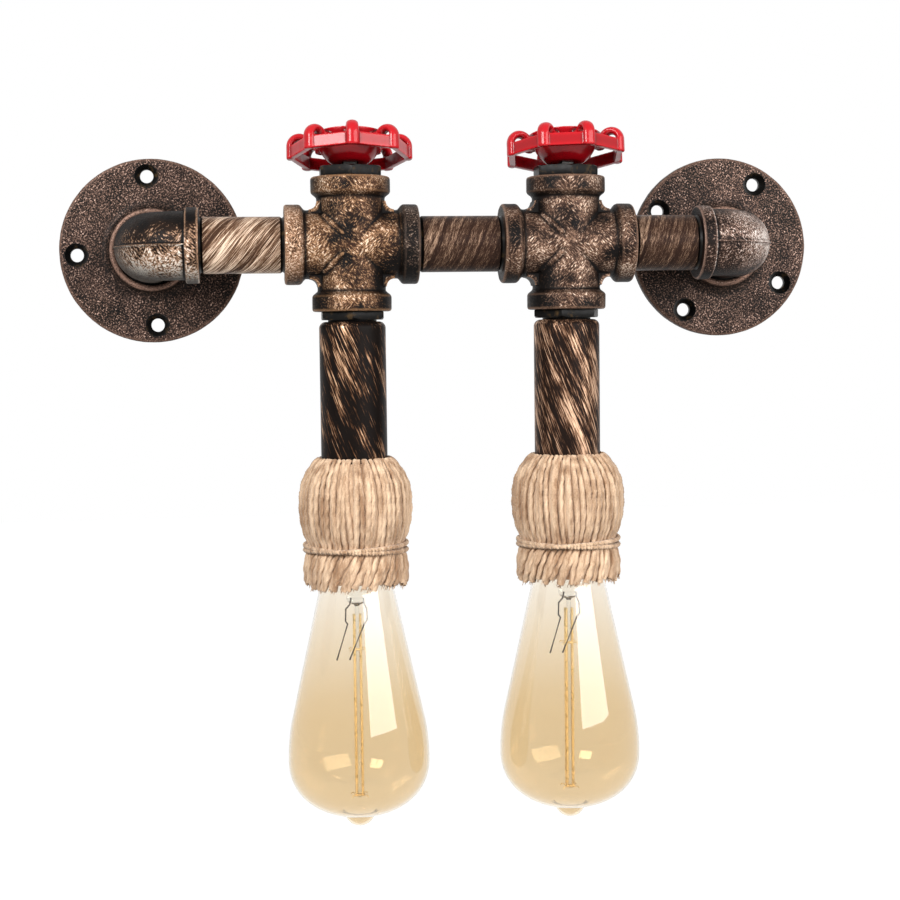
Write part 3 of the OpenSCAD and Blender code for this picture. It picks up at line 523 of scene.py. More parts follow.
# %% [markdown]
# The small works inside are seen only when a bulb is drawn out or the part is opened, but
# each has its own material: moulded phenolic, steatite, brass, zinc-plated steel, wire and
# sleeving. One loop makes them from a short table, with a fine mottle in colour and gloss.

# %% Finishes of the inner works
works = {
    "bright_steel": ("Zinc-plated steel", "#8f8d88", "#b9b6ae", 0.9, 0.32, 1.5),
    "dark_steel": ("Oil-blackened steel", "#191715", "#2c2926", 0.5, 0.45, 1.5),
    "black_moulding": ("Moulded phenolic", "#171513", "#26211d", 0.0, 0.42, 4.0),
    "steatite": ("Fired steatite", "#dcd5c5", "#efeade", 0.0, 0.55, 2.0),
    "brass": ("Drawn brass", "#a07c33", "#c8a455", 0.95, 0.3, 2.5),
    "black_glass": ("Vitrite insulator glass", "#1a1415", "#332728", 0.0, 0.12, 3.0),
    "lead_wire": ("Nickel lead wire", "#3c3733", "#6d665f", 0.8, 0.4, 1.5),
    "filament": ("Gold-coloured filament", "#ecc676", "#fff0c6", 0.3, 0.3, 3.0),
    "brown_insulation": ("Brown conductor sleeving", "#5a2f18", "#74422a", 0.0, 0.5, 3.0),
    "blue_insulation": ("Blue conductor sleeving", "#2a548f", "#3a6bb5", 0.0, 0.5, 3.0),
    "grey_insulation": ("Grey conductor sleeving", "#343840", "#474d57", 0.0, 0.5, 3.0),
}
for slot, (name, dark, light, metal, gloss, size) in works.items():
    material, tree, shader = new_finish(name)
    here = coordinate(tree)
    mottle = noise(tree, here, size, detail=4.0)
    colour = mixed(tree, mottle, srgb(dark), srgb(light))
    rough = ramp(tree, mottle, 0.3, 0.7, low=gloss * 0.8, high=gloss * 1.2)
    grain = embossed(tree, mottle, 0.15, 0.1)
    fill(tree, shader, {"Base Color": colour, "Metallic": metal, "Roughness": rough, "Normal": grain})
    finishes[slot] = material
print("finishes in all:", len(finishes))

# %% [markdown]
# A CAD node whose shape is right keeps it and only gets its finish. Names say which finish
# belongs to which node, so one loop dresses them all; the pieces made below then stand for
# the nodes that the eye meets.

# %% Dress the frame's own nodes
node_slots = {
    "flange": "cast_bronze", "elbow": "cast_bronze", "cross": "cast_bronze",
    "nipple": "bronze_tube", "drop_tube": "bronze_tube", "bonnet": "black_hex",
    "drop_bushing": "black_hex", "handwheel": "red_enamel", "spindle": "dark_steel",
    "wheel_washer": "bright_steel", "wheel_nut": "bright_steel", "switch_case": "black_moulding",
    "lampholder": "black_moulding", "holder_base": "steatite", "switch_tags": "brass",
    "holder_rod": "brass", "terminal_screws": "brass", "centre_contact": "brass",
    "screw_shell": "brass", "bulb_cap": "brass", "twine_cover": "jute_twine",
    "tie_twine": "jute_twine", "bulb_glass": "amber_glass", "glass_stem": "clear_glass",
    "cap_contact": "black_glass", "bulb_leads": "lead_wire", "filament": "filament",
    "live_lead": "brown_insulation", "neutral_lead": "blue_insulation", "drop_leads": "grey_insulation",
}
for name, node in frame["nodes"].items():
    kind = name
    for side in ("_left", "_middle", "_right"):
        kind = kind.removesuffix(side)
    node.data.materials.clear()
    node.data.materials.append(finishes[node_slots[kind]])


def finish(piece, node, slot, look=None, angle=35):
    """Smooth a piece, give it its finish, and let it stand for its node"""
    pick(piece)
    bpy.ops.object.shade_smooth_by_angle(angle=math.radians(angle))
    piece.data.materials.clear()
    piece.data.materials.append(finishes[look or slot])
    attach(piece, frame["nodes"][node]["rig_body"])
    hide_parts(node)
    print(piece.name, "stands for", node, "with", len(piece.data.polygons), "faces")


def painted(piece, look, test):
    """Give another finish to the faces whose middle, in mm, passes a test"""
    piece.data.materials.append(finishes[look])
    for face in piece.data.polygons:
        if test(*(v / MM for v in face.center)):
            face.material_index = len(piece.data.materials) - 1


print("nodes dressed:", len(frame["nodes"]))

# %% [markdown]
# A casting has no sharp edges: the sand mould rounds them, and the metal is slightly
# uneven. So each casting is put together from turned and extruded blocks, fused into one
# skin by a voxel remesh, smoothed, and given a shallow unevenness by a cloud texture.
# Machined bores and holes are cut afterwards and stay crisp. The relief that the finishes
# read is measured first: how far each point stands out from a much smoother copy.

# %% The casting bench
sand = bpy.data.textures.new("sand_mould", "CLOUDS")
sand.noise_scale = 5 * MM
sand.noise_depth = 2


def fused(*blocks):
    """Join blocks into the first of them"""
    pick(*blocks)
    bpy.ops.object.join()
    return bpy.context.object


def cast(piece, voxel, passes, uneven):
    """Fuse a piece's blocks into one soft-edged skin with an uneven surface"""
    pick(piece)
    piece.data.remesh_voxel_size = voxel * MM
    bpy.ops.object.voxel_remesh()
    worked(piece, "SMOOTH", factor=0.5, iterations=passes)
    if uneven:
        worked(piece, "DISPLACE", texture=sand, strength=uneven * MM, mid_level=0.5, texture_coords="LOCAL")
    return piece


def bored(piece, *cutters, flat_to=None):
    """Write a casting's relief, none below the height flat_to in mm, cut machined holes and close the skin"""
    even = worked(copied(piece, "even_skin"), "SMOOTH", factor=0.5, iterations=60)
    lifts = [(v.co - e.co).dot(v.normal) / MM for v, e in zip(piece.data.vertices, even.data.vertices)]
    ranked = sorted(lifts)
    usual = ranked[len(lifts) // 2]
    places = kdtree.KDTree(len(lifts))
    for index, point in enumerate(piece.data.vertices):
        places.insert(point.co, index)
    places.balance()
    cleared(even)
    close_skin(cut(piece, *cutters))
    line = piece.data.attributes.new("relief", "FLOAT", "POINT")
    for index, point in enumerate(piece.data.vertices):
        if flat_to is None or point.co.z > flat_to * MM:
            line.data[index].value = lifts[places.find(point.co)[1]] - usual
    spread = [round(ranked[int(f * (len(ranked) - 1))] - usual, 2) for f in (0, 0.05, 0.25, 0.75, 0.95, 1)]
    print("relief of", piece.name, spread)
    return piece


print("casting bench ready")

# %% [markdown]
# The wall flanges: an 85 mm plate with a raised hub, whose lip stands round the elbow.
# The plate is turned and cast, its back is sliced flat where it meets the wall, and the bore
# and the four countersunk holes are drilled. The two flanges are turned by different
# angles, as they came to rest on their threads.

# %% Wall flanges
plate = turned("flange_blank", [
    (0, -1), (42.5, -1), (42.5, 3.9), (42.2, 4.6), (41.4, 5), (22.6, 5), (20.8, 5.7), (19.5, 7.2), (19, 9),
    (19, 13.1), (18.5, 13.8), (17.8, 14), (16.9, 13.9), (16.3, 13.3), (16.2, 12.4), (16.2, 10.5), (0, 10.5)])
cast(plate, voxel=0.55, passes=3, uneven=0.22)
pick(plate)
bpy.ops.object.mode_set(mode="EDIT")
bpy.ops.mesh.select_all(action="SELECT")
bpy.ops.mesh.bisect(plane_co=(0, 0, 0), plane_no=(0, 0, 1), clear_inner=True, use_fill=True)
bpy.ops.object.mode_set(mode="OBJECT")
BOLT_RADIUS = 34.5
hole_shape = [(0, -2), (3.1, -2), (3.1, 2.5), (5.35, 4.7), (5.6, 5.4), (5.6, 9), (0, 9)]
hole_turns = {"left": 3.0, "right": 60.0}
for side, x in flange_x.items():
    flange = copied(plate, f"cast_flange_{side}")
    bore = turned("bore", [(0, -2), (13.05, -2), (13.05, 12), (0, 12)])
    holes = ringed(placed(turned("holes", hole_shape, steps=48), (BOLT_RADIUS, 0, 0)), 4)
    bored(flange, bore, placed(holes, turn=(0, 0, hole_turns[side])), flat_to=0.3)
    placed(flange, (x, 0, 0), (90, 0, 0))
    finish(flange, f"flange_{side}", "cast_bronze", "cast_plate")
    spots = [math.radians(hole_turns[side] + 90 * k) for k in range(4)]
    painted(flange, "black_hex", lambda px, py, pz: min(
        math.hypot(px - x - BOLT_RADIUS * math.cos(t), pz - BOLT_RADIUS * math.sin(t)) for t in spots) < 5.55)
cleared(plate)

# %% [markdown]
# The street elbows: a bent bar with a banded mouth for the pipe and a narrower shank that
# screws into the flange. A disc is extruded out of the mouth, spun round the bend and
# extruded on towards the wall. A flattened copy of the bar leaves the fine ridge where
# the two halves of the mould met.

# %% Elbows
REACH, BEND, SEAT, SHANK_END = 23.0, 16.0, 35.5, 45.5


def bent_bar(name, radius, shank, end=SHANK_END):
    """Extrude a disc along X, round the bend, and along Y to the seat and the shank's end"""
    pick()
    bpy.ops.mesh.primitive_circle_add(vertices=64, radius=radius * MM, fill_type="NGON",
                                      location=(REACH * MM, 0, 0), rotation=(0, math.pi / 2, 0))
    bar = bpy.context.object
    bar.name = name
    bpy.ops.object.transform_apply(location=True, rotation=True)
    bpy.ops.object.mode_set(mode="EDIT")
    bpy.ops.mesh.select_all(action="SELECT")
    bpy.ops.mesh.extrude_region_move(TRANSFORM_OT_translate={"value": ((BEND - REACH) * MM, 0, 0)})
    bpy.ops.mesh.spin(steps=24, angle=math.pi / 2, center=(BEND * MM, BEND * MM, 0), axis=(0, 0, 1))
    bpy.ops.mesh.extrude_region_move(TRANSFORM_OT_translate={"value": (0, (SEAT - BEND) * MM, 0)})
    if shank < radius:
        bpy.ops.mesh.inset(thickness=(radius - shank) * MM)
    bpy.ops.mesh.extrude_region_move(TRANSFORM_OT_translate={"value": (0, (end - SEAT) * MM, 0)})
    return close_skin(bar)


bar = bent_bar("elbow_blank", 15.2, 13.0)
print("bar reaches", [round(v / MM, 2) for v in bar.dimensions])
band = turned("band", [(12, 0), (16.3, 0), (16.7, 0.5), (16.7, 5.3), (16.3, 6), (12, 6), (12, 0)])
placed(band, (REACH - 6, 0, 0), (0, 90, 0))
ridge = bent_bar("ridge", 15.85, 13.0)
ridge.scale.z = 0.12
placed(ridge)
elbow = cast(fused(bar, band, ridge), voxel=0.5, passes=3, uneven=0.2)
socket = turned("socket", [(0, 0), (12.55, 0), (12.55, 11), (0, 11)])
placed(socket, (REACH - 9.05, 0, 0), (0, 90, 0))
bored(elbow, socket, bent_bar("bore", 9.8, 9.8, SHANK_END + 3))
# each elbow has its painted highlight where the light fell: below on the left, on the right-hand end on the
# right
elbow_looks = {"left": "cast_elbow_highlight_below", "right": "cast_elbow_highlight_right"}
for side, x in flange_x.items():
    piece = copied(elbow, f"cast_elbow_{side}")
    if side == "right":
        piece.scale.x = -1
    placed(piece, (x, PIPE_Y, 0))
    close_skin(piece)
    finish(piece, f"elbow_{side}", "cast_bronze", elbow_looks[side])
cleared(elbow)

# %% [markdown]
# The crosses: two banded bars through each other, a notched web in their corners and small
# cast ribs on the left-hand diagonals. The same fusing gives the soft creases where the
# bars meet. The bores follow, threaded pipes below and beside, the switch above.

# %% Crosses
half_arm = [(15.2, 20.6), (15.9, 21.3), (17.2, 22.3), (17.7, 23.1), (17.7, 28.7), (17.4, 29.4), (16.8, 29.7)]
bar_outline = ([(0, -29.7)] + [(r, -h) for r, h in reversed(half_arm)] + half_arm + [(0, 29.7)])
upright_bar = turned("cross_blank", bar_outline)
level_bar = placed(turned("level_bar", bar_outline), turn=(0, 90, 0))
pick()
bpy.ops.mesh.primitive_cube_add(size=1, scale=(37.8 * MM, 13.7 * MM, 37.8 * MM))
web = bpy.context.object
bpy.ops.object.transform_apply(scale=True)
notches = []
for sx in (-1, 1):
    for sz in (-1, 1):
        notch = turned("notch", [(0, -20), (3.7, -20), (3.7, 20), (0, 20)], steps=48)
        notches.append(placed(notch, (18.9 * sx, 0, 18.9 * sz), (90, 0, 0)))
cut(web, *notches)
ribs = []
for sz in (-1, 1):
    crest = [Vector((-d, 0.1 - math.sqrt(15.2 ** 2 - d ** 2), d * sz)) for d in (4.5, 7.0, 9.5, 12.0)]
    for inner, outer in zip(crest, crest[1:]):
        half = (outer - inner).length / 2
        rib = turned("rib", [(0, -half - 1.3), (0.9, -half - 1), (1.35, -half), (1.35, half), (0.9, half + 1),
                             (0, half + 1.3)], steps=24)
        lie = (outer - inner).to_track_quat("Z", "Y").to_euler()
        ribs.append(placed(rib, (inner + outer) / 2, [math.degrees(v) for v in lie]))
cross = cast(fused(upright_bar, level_bar, web, *ribs), voxel=0.5, passes=3, uneven=0.2)
cutters = [turned("upright_bore", [(0, -31), (12.55, -31), (12.55, 31), (0, 31)]),
           placed(turned("level_bore", [(0, -28), (10.3, -28), (10.3, 28), (0, 28)]), turn=(0, 90, 0))]
for turn in (90, -90):
    socket = turned("socket", [(0, 20.65), (12.55, 20.65), (12.55, 32), (0, 32)])
    cutters.append(placed(socket, turn=(0, turn, 0)))
bored(cross, *cutters)
cross_looks = {"left": "cast_bronze", "right": "cast_brown"}
BAND_AT = 21.6
for side, x in cross_x.items():
    piece = placed(copied(cross, f"cast_cross_{side}"), (x, PIPE_Y, 0))
    finish(piece, f"cross_{side}", "cast_bronze", cross_looks[side])
    # on the left cross the left band is painted as lit and the right band as shaded
    if side == "left":
        painted(piece, "cast_band_painted_lit", lambda px, py, pz: px < x - BAND_AT)
        painted(piece, "cast_band_painted_shaded", lambda px, py, pz: px > x + BAND_AT)
cleared(cross)

# %% [markdown]
# The pipes between the fittings are nipples: steel tube with a thread at each end, of which
# a turn or two shows beside the fitting. The crests and roots of the thread are points of
# the outline, and extra rows in the plain stretch carry the winding brush strokes.

# %% Nipples
THREAD_IN, PITCH, DEPTH = 9.0, 1.8, 0.63


def rows(start, end, step):
    """Even heights from start to end, about step apart, without the two ends"""
    count = max(2, round(abs(end - start) / step))
    return [start + (end - start) * k / count for k in range(1, count)]


def nipple_outline(run):
    """Outline of a threaded pipe from one end to the other and back through its bore"""
    full = run + 2 * THREAD_IN
    turns = 6
    tooth = [(12.5 - DEPTH * (k % 2), PITCH / 2 * k) for k in range(2 * turns + 1)]
    plain = [(12.5, h) for h in rows(turns * PITCH, full - turns * PITCH, 2)]
    far = [(r, full - h) for r, h in reversed(tooth)]
    return [(10.3, 0)] + tooth + plain + far + [(10.3, full), (10.3, 0)]


mouths = {"left": ("elbow_left", "cross_left"), "middle": ("cross_left", "cross_right"),
          "right": ("cross_right", "elbow_right")}
nipple_slants = {"left": 6.0, "middle": 12.0, "right": 15.0}
nipple_looks = {"left": "bronze_pipe", "middle": "brown_pipe", "right": "brown_pipe"}
for where, (one, other) in mouths.items():
    start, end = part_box(f"nipple_{where}")
    run = (end.x - start.x) / MM - 2 * THREAD_IN
    pipe = turned(f"threaded_pipe_{where}", nipple_outline(run))
    placed(pipe, (start.x / MM, PIPE_Y, 0), (0, 90, 0))
    brushed(pipe, axis=0, slant=nipple_slants[where], middle=(start.x / MM, PIPE_Y, 0))
    finish(pipe, f"nipple_{where}", "bronze_tube", nipple_looks[where], angle=30)
    bare = (start.x / MM + THREAD_IN + 2, end.x / MM - THREAD_IN - 2)
    painted(pipe, "black_hex", lambda px, py, pz: not bare[0] < px < bare[1])
    print("between", one, "and", other, round(run, 1), "mm bare")

# %% [markdown]
# The drop tubes hang under the crosses: thin tube with a rounded shoulder, closed at the
# top round the rod that carries the lampholder. The shoulder is a quarter circle in the
# outline, and the strokes wind down it from the upper left to the lower right.

# %% Drop tubes
TUBE_TOP, TUBE_L, TUBE_R, SHOULDER = -34.2, 62.8, 14.85, 3.0
shoulder = [(TUBE_R - SHOULDER + SHOULDER * math.sin(t), TUBE_TOP - SHOULDER + SHOULDER * math.cos(t))
            for t in (math.pi / 16 * k for k in range(9))]
tube_side = [(TUBE_R, h) for h in rows(TUBE_TOP - SHOULDER, TUBE_TOP - TUBE_L + 0.4, 2)]
tube_outline = ([(5.05, TUBE_TOP)] + shoulder + tube_side + [
    (TUBE_R, TUBE_TOP - TUBE_L + 0.4), (TUBE_R - 0.3, TUBE_TOP - TUBE_L), (TUBE_R - 1.5, TUBE_TOP - TUBE_L),
    (TUBE_R - 1.5, TUBE_TOP - 5), (TUBE_R - 4.5, TUBE_TOP - 2), (5.05, TUBE_TOP - 2), (5.05, TUBE_TOP)])
tube_slants = {"left": 1.7, "right": 1.6}
tube_looks = {"left": "bronze_tube", "right": "gilt_tube"}
for side, x in cross_x.items():
    tube = placed(turned(f"brushed_tube_{side}", tube_outline), (x, PIPE_Y, 0))
    brushed(tube, axis=2, slant=tube_slants[side], middle=(x, PIPE_Y, 0 if side == "left" else 40))
    finish(tube, f"drop_tube_{side}", "bronze_tube", tube_looks[side])

# %% [markdown]
# The black hexagons above and below each cross are bushings. A six-sided bar is turned
# down at its ends, which leaves the curved chamfer that every nut and bushing has: here a
# turned blank is intersected with the bar. Below it the threaded shank joins on.

# %% Hexagon bushings
def hexagon(name, across_flats, height, turn):
    """Six-sided bar standing on z = 0, with both ends turned down"""
    corner = across_flats / 2 / math.cos(math.pi / 6)
    pick()
    bpy.ops.mesh.primitive_cylinder_add(vertices=6, radius=corner * MM, depth=height * MM,
                                        location=(0, 0, height / 2 * MM), rotation=(0, 0, math.radians(turn)))
    block = bpy.context.object
    block.name = name
    bpy.ops.object.transform_apply(location=True, rotation=True)
    blank = turned("blank", [(0, 0), (corner - 1.1, 0), (corner, 0.5), (corner, height - 0.8),
                             (corner - 1.4, height), (0, height)])
    worked(block, "BOOLEAN", operation="INTERSECT", solver="EXACT", object=blank)
    cleared(blank)
    return block


def bushing(name, hexagon_bar, shank, bore_radius):
    """Join a shank to a hexagon, bore it through and ease its edges"""
    worked(hexagon_bar, "BOOLEAN", operation="UNION", solver="EXACT", object=shank)
    cleared(shank)
    bore = turned("bore", [(0, -60), (bore_radius, -60), (bore_radius, 60), (0, 60)], steps=48)
    close_skin(cut(hexagon_bar, bore))
    worked(hexagon_bar, "BEVEL", width=0.22 * MM, segments=2, limit_method="ANGLE",
           angle_limit=math.radians(28))
    hexagon_bar.name = name
    return hexagon_bar


MOUTH = 29.7
drop_turns = {"left": 0, "right": 18}
for side, x in cross_x.items():
    top = placed(hexagon("bonnet_bar", across_flats=26.5, height=4.6, turn=0), (0, 0, MOUTH))
    shank = turned("shank", [(0, 20.7), (12.5, 20.7), (12.5, MOUTH + 1), (0, MOUTH + 1)])
    bonnet = placed(bushing(f"black_bonnet_{side}", top, shank, 4.05), (x, PIPE_Y, 0))
    finish(bonnet, f"bonnet_{side}", "black_hex", angle=25)
    low_bar = hexagon("drop_bar", across_flats=27.0, height=3.7, turn=drop_turns[side])
    placed(low_bar, (0, 0, -MOUTH), (180, 0, 0))
    shank = turned("shank", [(0, TUBE_TOP), (10.85, TUBE_TOP), (10.85, -MOUTH - 1), (12.5, -MOUTH - 1),
                             (12.5, -20.7), (0, -20.7)])
    drop = placed(bushing(f"black_bushing_{side}", low_bar, shank, 5.05), (x, PIPE_Y, 0))
    finish(drop, f"drop_bushing_{side}", "black_hex", angle=25)

# %% [markdown]
# The handwheels: an eight-sided rim, a flaring cup for a hub, and eight arches that spring
# from the corners of the rim and land on the cup. The rim comes first: an eight-sided disc,
# inset, opened and extruded upwards.

# %% Wheel rim
RIM_LIFT, RIM_H, RIM_CORNER, RIM_INSET = 2.0, 5.5, 27.2, 2.587
pick()
bpy.ops.mesh.primitive_circle_add(vertices=8, radius=RIM_CORNER * MM, fill_type="NGON",
                                  location=(0, 0, RIM_LIFT * MM))
rim = bpy.context.object
rim.name = "wheel_blank"
bpy.ops.object.transform_apply(location=True)
bpy.ops.object.mode_set(mode="EDIT")
bpy.ops.mesh.select_mode(type="FACE")
bpy.ops.mesh.select_all(action="SELECT")
bpy.ops.mesh.inset(thickness=RIM_INSET * MM)
bpy.ops.mesh.delete(type="FACE")
bpy.ops.mesh.select_all(action="SELECT")
bpy.ops.mesh.extrude_region_move(TRANSFORM_OT_translate={"value": (0, 0, RIM_H * MM)})
close_skin(rim)
print("rim faces", len(rim.data.polygons))

# %% [markdown]
# An arch is half of a flattened ring, stood on a leg of the same section at the rim and
# led into the cup by a short level landing. One arch is made and ringed round the axis.

# %% Wheel arches
ARCH_X, ARCH_Z, ARCH_MID, ARCH_T, ARCH_W = 22.0, 7.5, 4.3, 3.4, 5.4
pick()
bpy.ops.mesh.primitive_torus_add(major_segments=64, minor_segments=24, major_radius=ARCH_MID * MM,
                                 minor_radius=ARCH_T / 2 * MM)
arch = bpy.context.object
arch.scale.z = ARCH_W / ARCH_T
placed(arch, (ARCH_X, 0, ARCH_Z), (90, 0, 0))
bpy.ops.object.mode_set(mode="EDIT")
bpy.ops.mesh.select_all(action="SELECT")
bpy.ops.mesh.bisect(plane_co=(0, 0, ARCH_Z * MM), plane_no=(0, 0, 1), clear_inner=True, use_fill=True)
close_skin(arch)
LEG_R, LEG_FOOT, LEG_OVERLAP = 1.7, 0.3, 0.4
leg_l = ARCH_Z - RIM_LIFT + LEG_FOOT + LEG_OVERLAP
leg = turned("leg", [(0, 0), (LEG_R - 0.5, 0), (LEG_R, 0.5), (LEG_R, leg_l), (0, leg_l)], steps=32)
leg.scale.y = ARCH_W / ARCH_T
placed(leg, (ARCH_X + ARCH_MID, 0, RIM_LIFT - LEG_FOOT))
LANDING_R, LANDING_X, LANDING_OVERLAP = 1.9, 12.5, 0.5
landing_l = ARCH_X - ARCH_MID - LANDING_X + LANDING_OVERLAP
landing = turned("landing", [(0, 0), (LANDING_R, 0), (LANDING_R, landing_l), (0, landing_l)], steps=32)
landing.scale.y = ARCH_W / ARCH_T
placed(landing, (LANDING_X, 0, ARCH_Z + LANDING_R), (0, 90, 0))
arches = ringed(fused(arch, leg, landing), 8)
print("arches reach", [round(v / MM, 2) for v in arches.dimensions])

# %% [markdown]
# The cup is turned, its side a parabola in twelve steps. Rim, arches and cup are fused like
# the other castings, and the square for the drive is cut after that.

# %% Wheel cup and drive
FOOT_R, BRIM_R, CUP_H, CUP_FLOOR = 6.5, 16.5, 12.7, 7.0
BRIM_INSIDE, FLOOR_R, DRIVE_SIDE, DRIVE_Z = 14.3, 11.7, 7.2, 4.0
cup_side = [(FOOT_R + (BRIM_R - FOOT_R) * k / 12, CUP_H * (k / 12) ** 2) for k in range(13)]
cup = turned("cup", [(0, 0)] + cup_side + [(BRIM_INSIDE, CUP_H), (FLOOR_R, CUP_FLOOR), (0, CUP_FLOOR)])
wheel = cast(fused(rim, arches, cup), voxel=0.42, passes=8, uneven=0.12)
pick()
bpy.ops.mesh.primitive_cube_add(size=DRIVE_SIDE * MM, location=(0, 0, DRIVE_Z * MM))
drive_hole = bpy.context.object
bpy.ops.object.transform_apply(location=True)
bpy.ops.object.mode_set(mode="EDIT")
bpy.ops.transform.resize(value=(1, 1, 2))
bpy.ops.object.mode_set(mode="OBJECT")
bored(wheel, drive_hole)
print("wheel faces", len(wheel.data.polygons))

# %% [markdown]
# The finished wheel is copied for each cross. Each one sits a little loose on its square
# drive, so it leans about the middle of its hub, near side up, and the two were left at
# different turns.

# %% Hang the handwheels
WHEEL_Z, HUB_MIDDLE, LEAN = 35.617, 3.5, -9.0
wheel_turns = {"left": 0.0, "right": 13.5}
for side, x in cross_x.items():
    piece = copied(wheel, f"red_handwheel_{side}")
    placed(piece, (0, 0, -HUB_MIDDLE), (0, 0, wheel_turns[side]))
    placed(piece, (x, PIPE_Y, WHEEL_Z + HUB_MIDDLE), (LEAN, 0, 0))
    finish(piece, f"handwheel_{side}", "red_enamel")
cleared(wheel)

# %% [markdown]
# Twine and wire are swept: a small closed section follows a spline and the sweep is made
# a mesh. The section of the twine is lightly lobed and turns along its length, so it reads
# as two plies twisted together. A plain round section serves for wire.

# %% Twine and its section
def lobed_section(lobes, depth, points):
    """Closed outline of radius 1 with soft lobes, to be swept along a spline"""
    data = bpy.data.curves.new("section", "CURVE")
    line = data.splines.new("POLY")
    line.points.add(points - 1)
    for k in range(points):
        t = math.tau * k / points
        r = 1 - depth * (0.5 - 0.5 * math.cos(lobes * t))
        line.points[k].co = (r * math.cos(t), r * math.sin(t), 0, 1)
    line.use_cyclic_u = True
    section = bpy.data.objects.new("section", data)
    bpy.context.collection.objects.link(section)
    return section


def swept(name, runs, section, pitch):
    """Sweep a section along runs of (x, y, z, radius) in mm, one turn for each pitch"""
    data = bpy.data.curves.new(name, "CURVE")
    data.dimensions = "3D"
    data.bevel_mode = "OBJECT"
    data.bevel_object = section
    data.use_fill_caps = True
    for run in runs:
        line = data.splines.new("POLY")
        line.points.add(len(run) - 1)
        travelled = 0.0
        for k, (x, y, z, radius) in enumerate(run):
            if k:
                travelled += math.dist(run[k - 1][:3], (x, y, z))
            line.points[k].co = (x * MM, y * MM, z * MM, 1)
            line.points[k].radius = radius * MM
            line.points[k].tilt = math.tau * travelled / pitch
    piece = bpy.data.objects.new(name, data)
    bpy.context.collection.objects.link(piece)
    pick(piece)
    bpy.ops.object.convert(target="MESH")
    return close_skin(bpy.context.object)


def round_axis(x, radius, angle):
    """Place round the upright axis of the lamp at x, in mm"""
    return x + radius * math.cos(angle), PIPE_Y + radius * math.sin(angle)


ply = lobed_section(lobes=2, depth=0.2, points=12)
print("section points", len(ply.data.splines[0].points))

# %% [markdown]
# The twine covers hide the lampholders: upright jute strands laid side by side, bulging
# like a ball, drawn in under the tie and cut off in a ragged skirt. All strands follow one
# way of radius, height and width. Angles, widths and ends vary from strand to strand with
# seeded chance.

# %% Strands of the covers
STRANDS, STRAND_POINTS, WAIST_Z, SKIRT_Z, HEM_Z = 58, 64, -135.0, -137.5, -152.5
strand_way = [(15.9, -95.2, 1.0), (16.8, -96.0, 1.1), (17.9, -97.3, 1.2), (19.3, -99.2, 1.32),
              (22.0, -103.6, 1.45), (23.7, -109.0, 1.55), (24.2, -115.5, 1.58), (24.0, -121.0, 1.55),
              (23.2, -126.0, 1.46), (22.0, -130.0, 1.34), (20.8, -132.6, 1.26), (20.4, -135.0, 1.22),
              (20.8, -137.5, 1.3), (21.8, -140.0, 1.46), (22.3, -143.5, 1.58), (22.3, -147.0, 1.6),
              (22.1, -150.0, 1.58), (22.0, -152.5, 1.5)]


def along(way, t):
    """Point on a way of (radius, height, width), t from 0 to 1, eased between its points"""
    at = t * (len(way) - 1)
    k = min(int(at), len(way) - 2)
    f = at - k
    p = [way[max(0, min(len(way) - 1, k + d))] for d in (-1, 0, 1, 2)]
    return [0.5 * (2 * b + (c - a) * f + (2 * a - 5 * b + 4 * c - d) * f * f
                   + (3 * b - a - 3 * c + d) * f ** 3) for a, b, c, d in zip(*p)]


def strand(rng, number, x):
    """One strand of a cover, from its top edge to its ragged end"""
    angle = math.tau * (number + rng.uniform(-0.26, 0.26)) / STRANDS
    width = rng.uniform(0.84, 1.14)
    sway, phase = rng.uniform(0.01, 0.045), rng.uniform(0, math.tau)
    slant = -0.27 + rng.uniform(-0.1, 0.1)
    proud = rng.uniform(-0.35, 0.35)
    last = rng.uniform(0.94, 0.995)
    run = []
    for k in range(STRAND_POINTS):
        t = last * k / (STRAND_POINTS - 1)
        r, z, w = along(strand_way, t)
        below = max(0.0, (SKIRT_Z - z) / (SKIRT_Z - HEM_Z))
        a = angle + sway * math.sin(phase + 9 * t) + slant * below
        r += proud * math.sin(math.pi * min(1.0, t * 1.6)) if t < 0.6 else proud * 0.4 * below
        run.append((*round_axis(x, r, a), z, w * width))
    return run


print("strands in a cover:", STRANDS)

# %% [markdown]
# Behind the strands a thin shell stands for the inner ones, which only fill the gaps, so
# that no light shows through a cover. A few loose fibres stand out of each cut end.

# %% Twine covers
def lining(x):
    """The inner strands, which only fill the gaps, as one thin shell"""
    way = [along(strand_way, 0.1 + 0.84 * k / 40) for k in range(41)]
    outer, inner = ([(r - inset, z) for r, z, _ in way] for inset in (0.3, 1.0))
    return placed(turned("lining", outer + inner[::-1] + outer[:1]), (x, PIPE_Y, 0))


FIBRES, SPREAD, ROOT = 6, 0.8, 1.5


def fray(rng, run):
    """Loose fibres that stand out below a strand's cut end"""
    before, end = Vector(run[-4][:3]), Vector(run[-1][:3])
    fibres = []
    for _ in range(FIBRES):
        lean = [rng.uniform(-SPREAD, SPREAD) for _ in range(2)]
        length = rng.uniform(0.4, 1.8)
        start = end + Vector((rng.uniform(-SPREAD, SPREAD), rng.uniform(-SPREAD, SPREAD), ROOT))
        way = Vector((lean[0] + end.x - before.x, lean[1] + end.y - before.y, -ROOT - length))
        fibres.append([(*(start + way * k / 3), 0.24 - 0.04 * k) for k in range(4)])
    return fibres


for side, x in cross_x.items():
    rng = random.Random(f"cover {side}")
    runs = [strand(rng, number, x) for number in range(STRANDS)]
    fibres = [fibre for run in runs for fibre in fray(rng, run)]
    cover = fused(swept(f"jute_cover_{side}", runs + fibres, ply, pitch=11.0), lining(x))
    finish(cover, f"twine_cover_{side}", "jute_twine", angle=60)

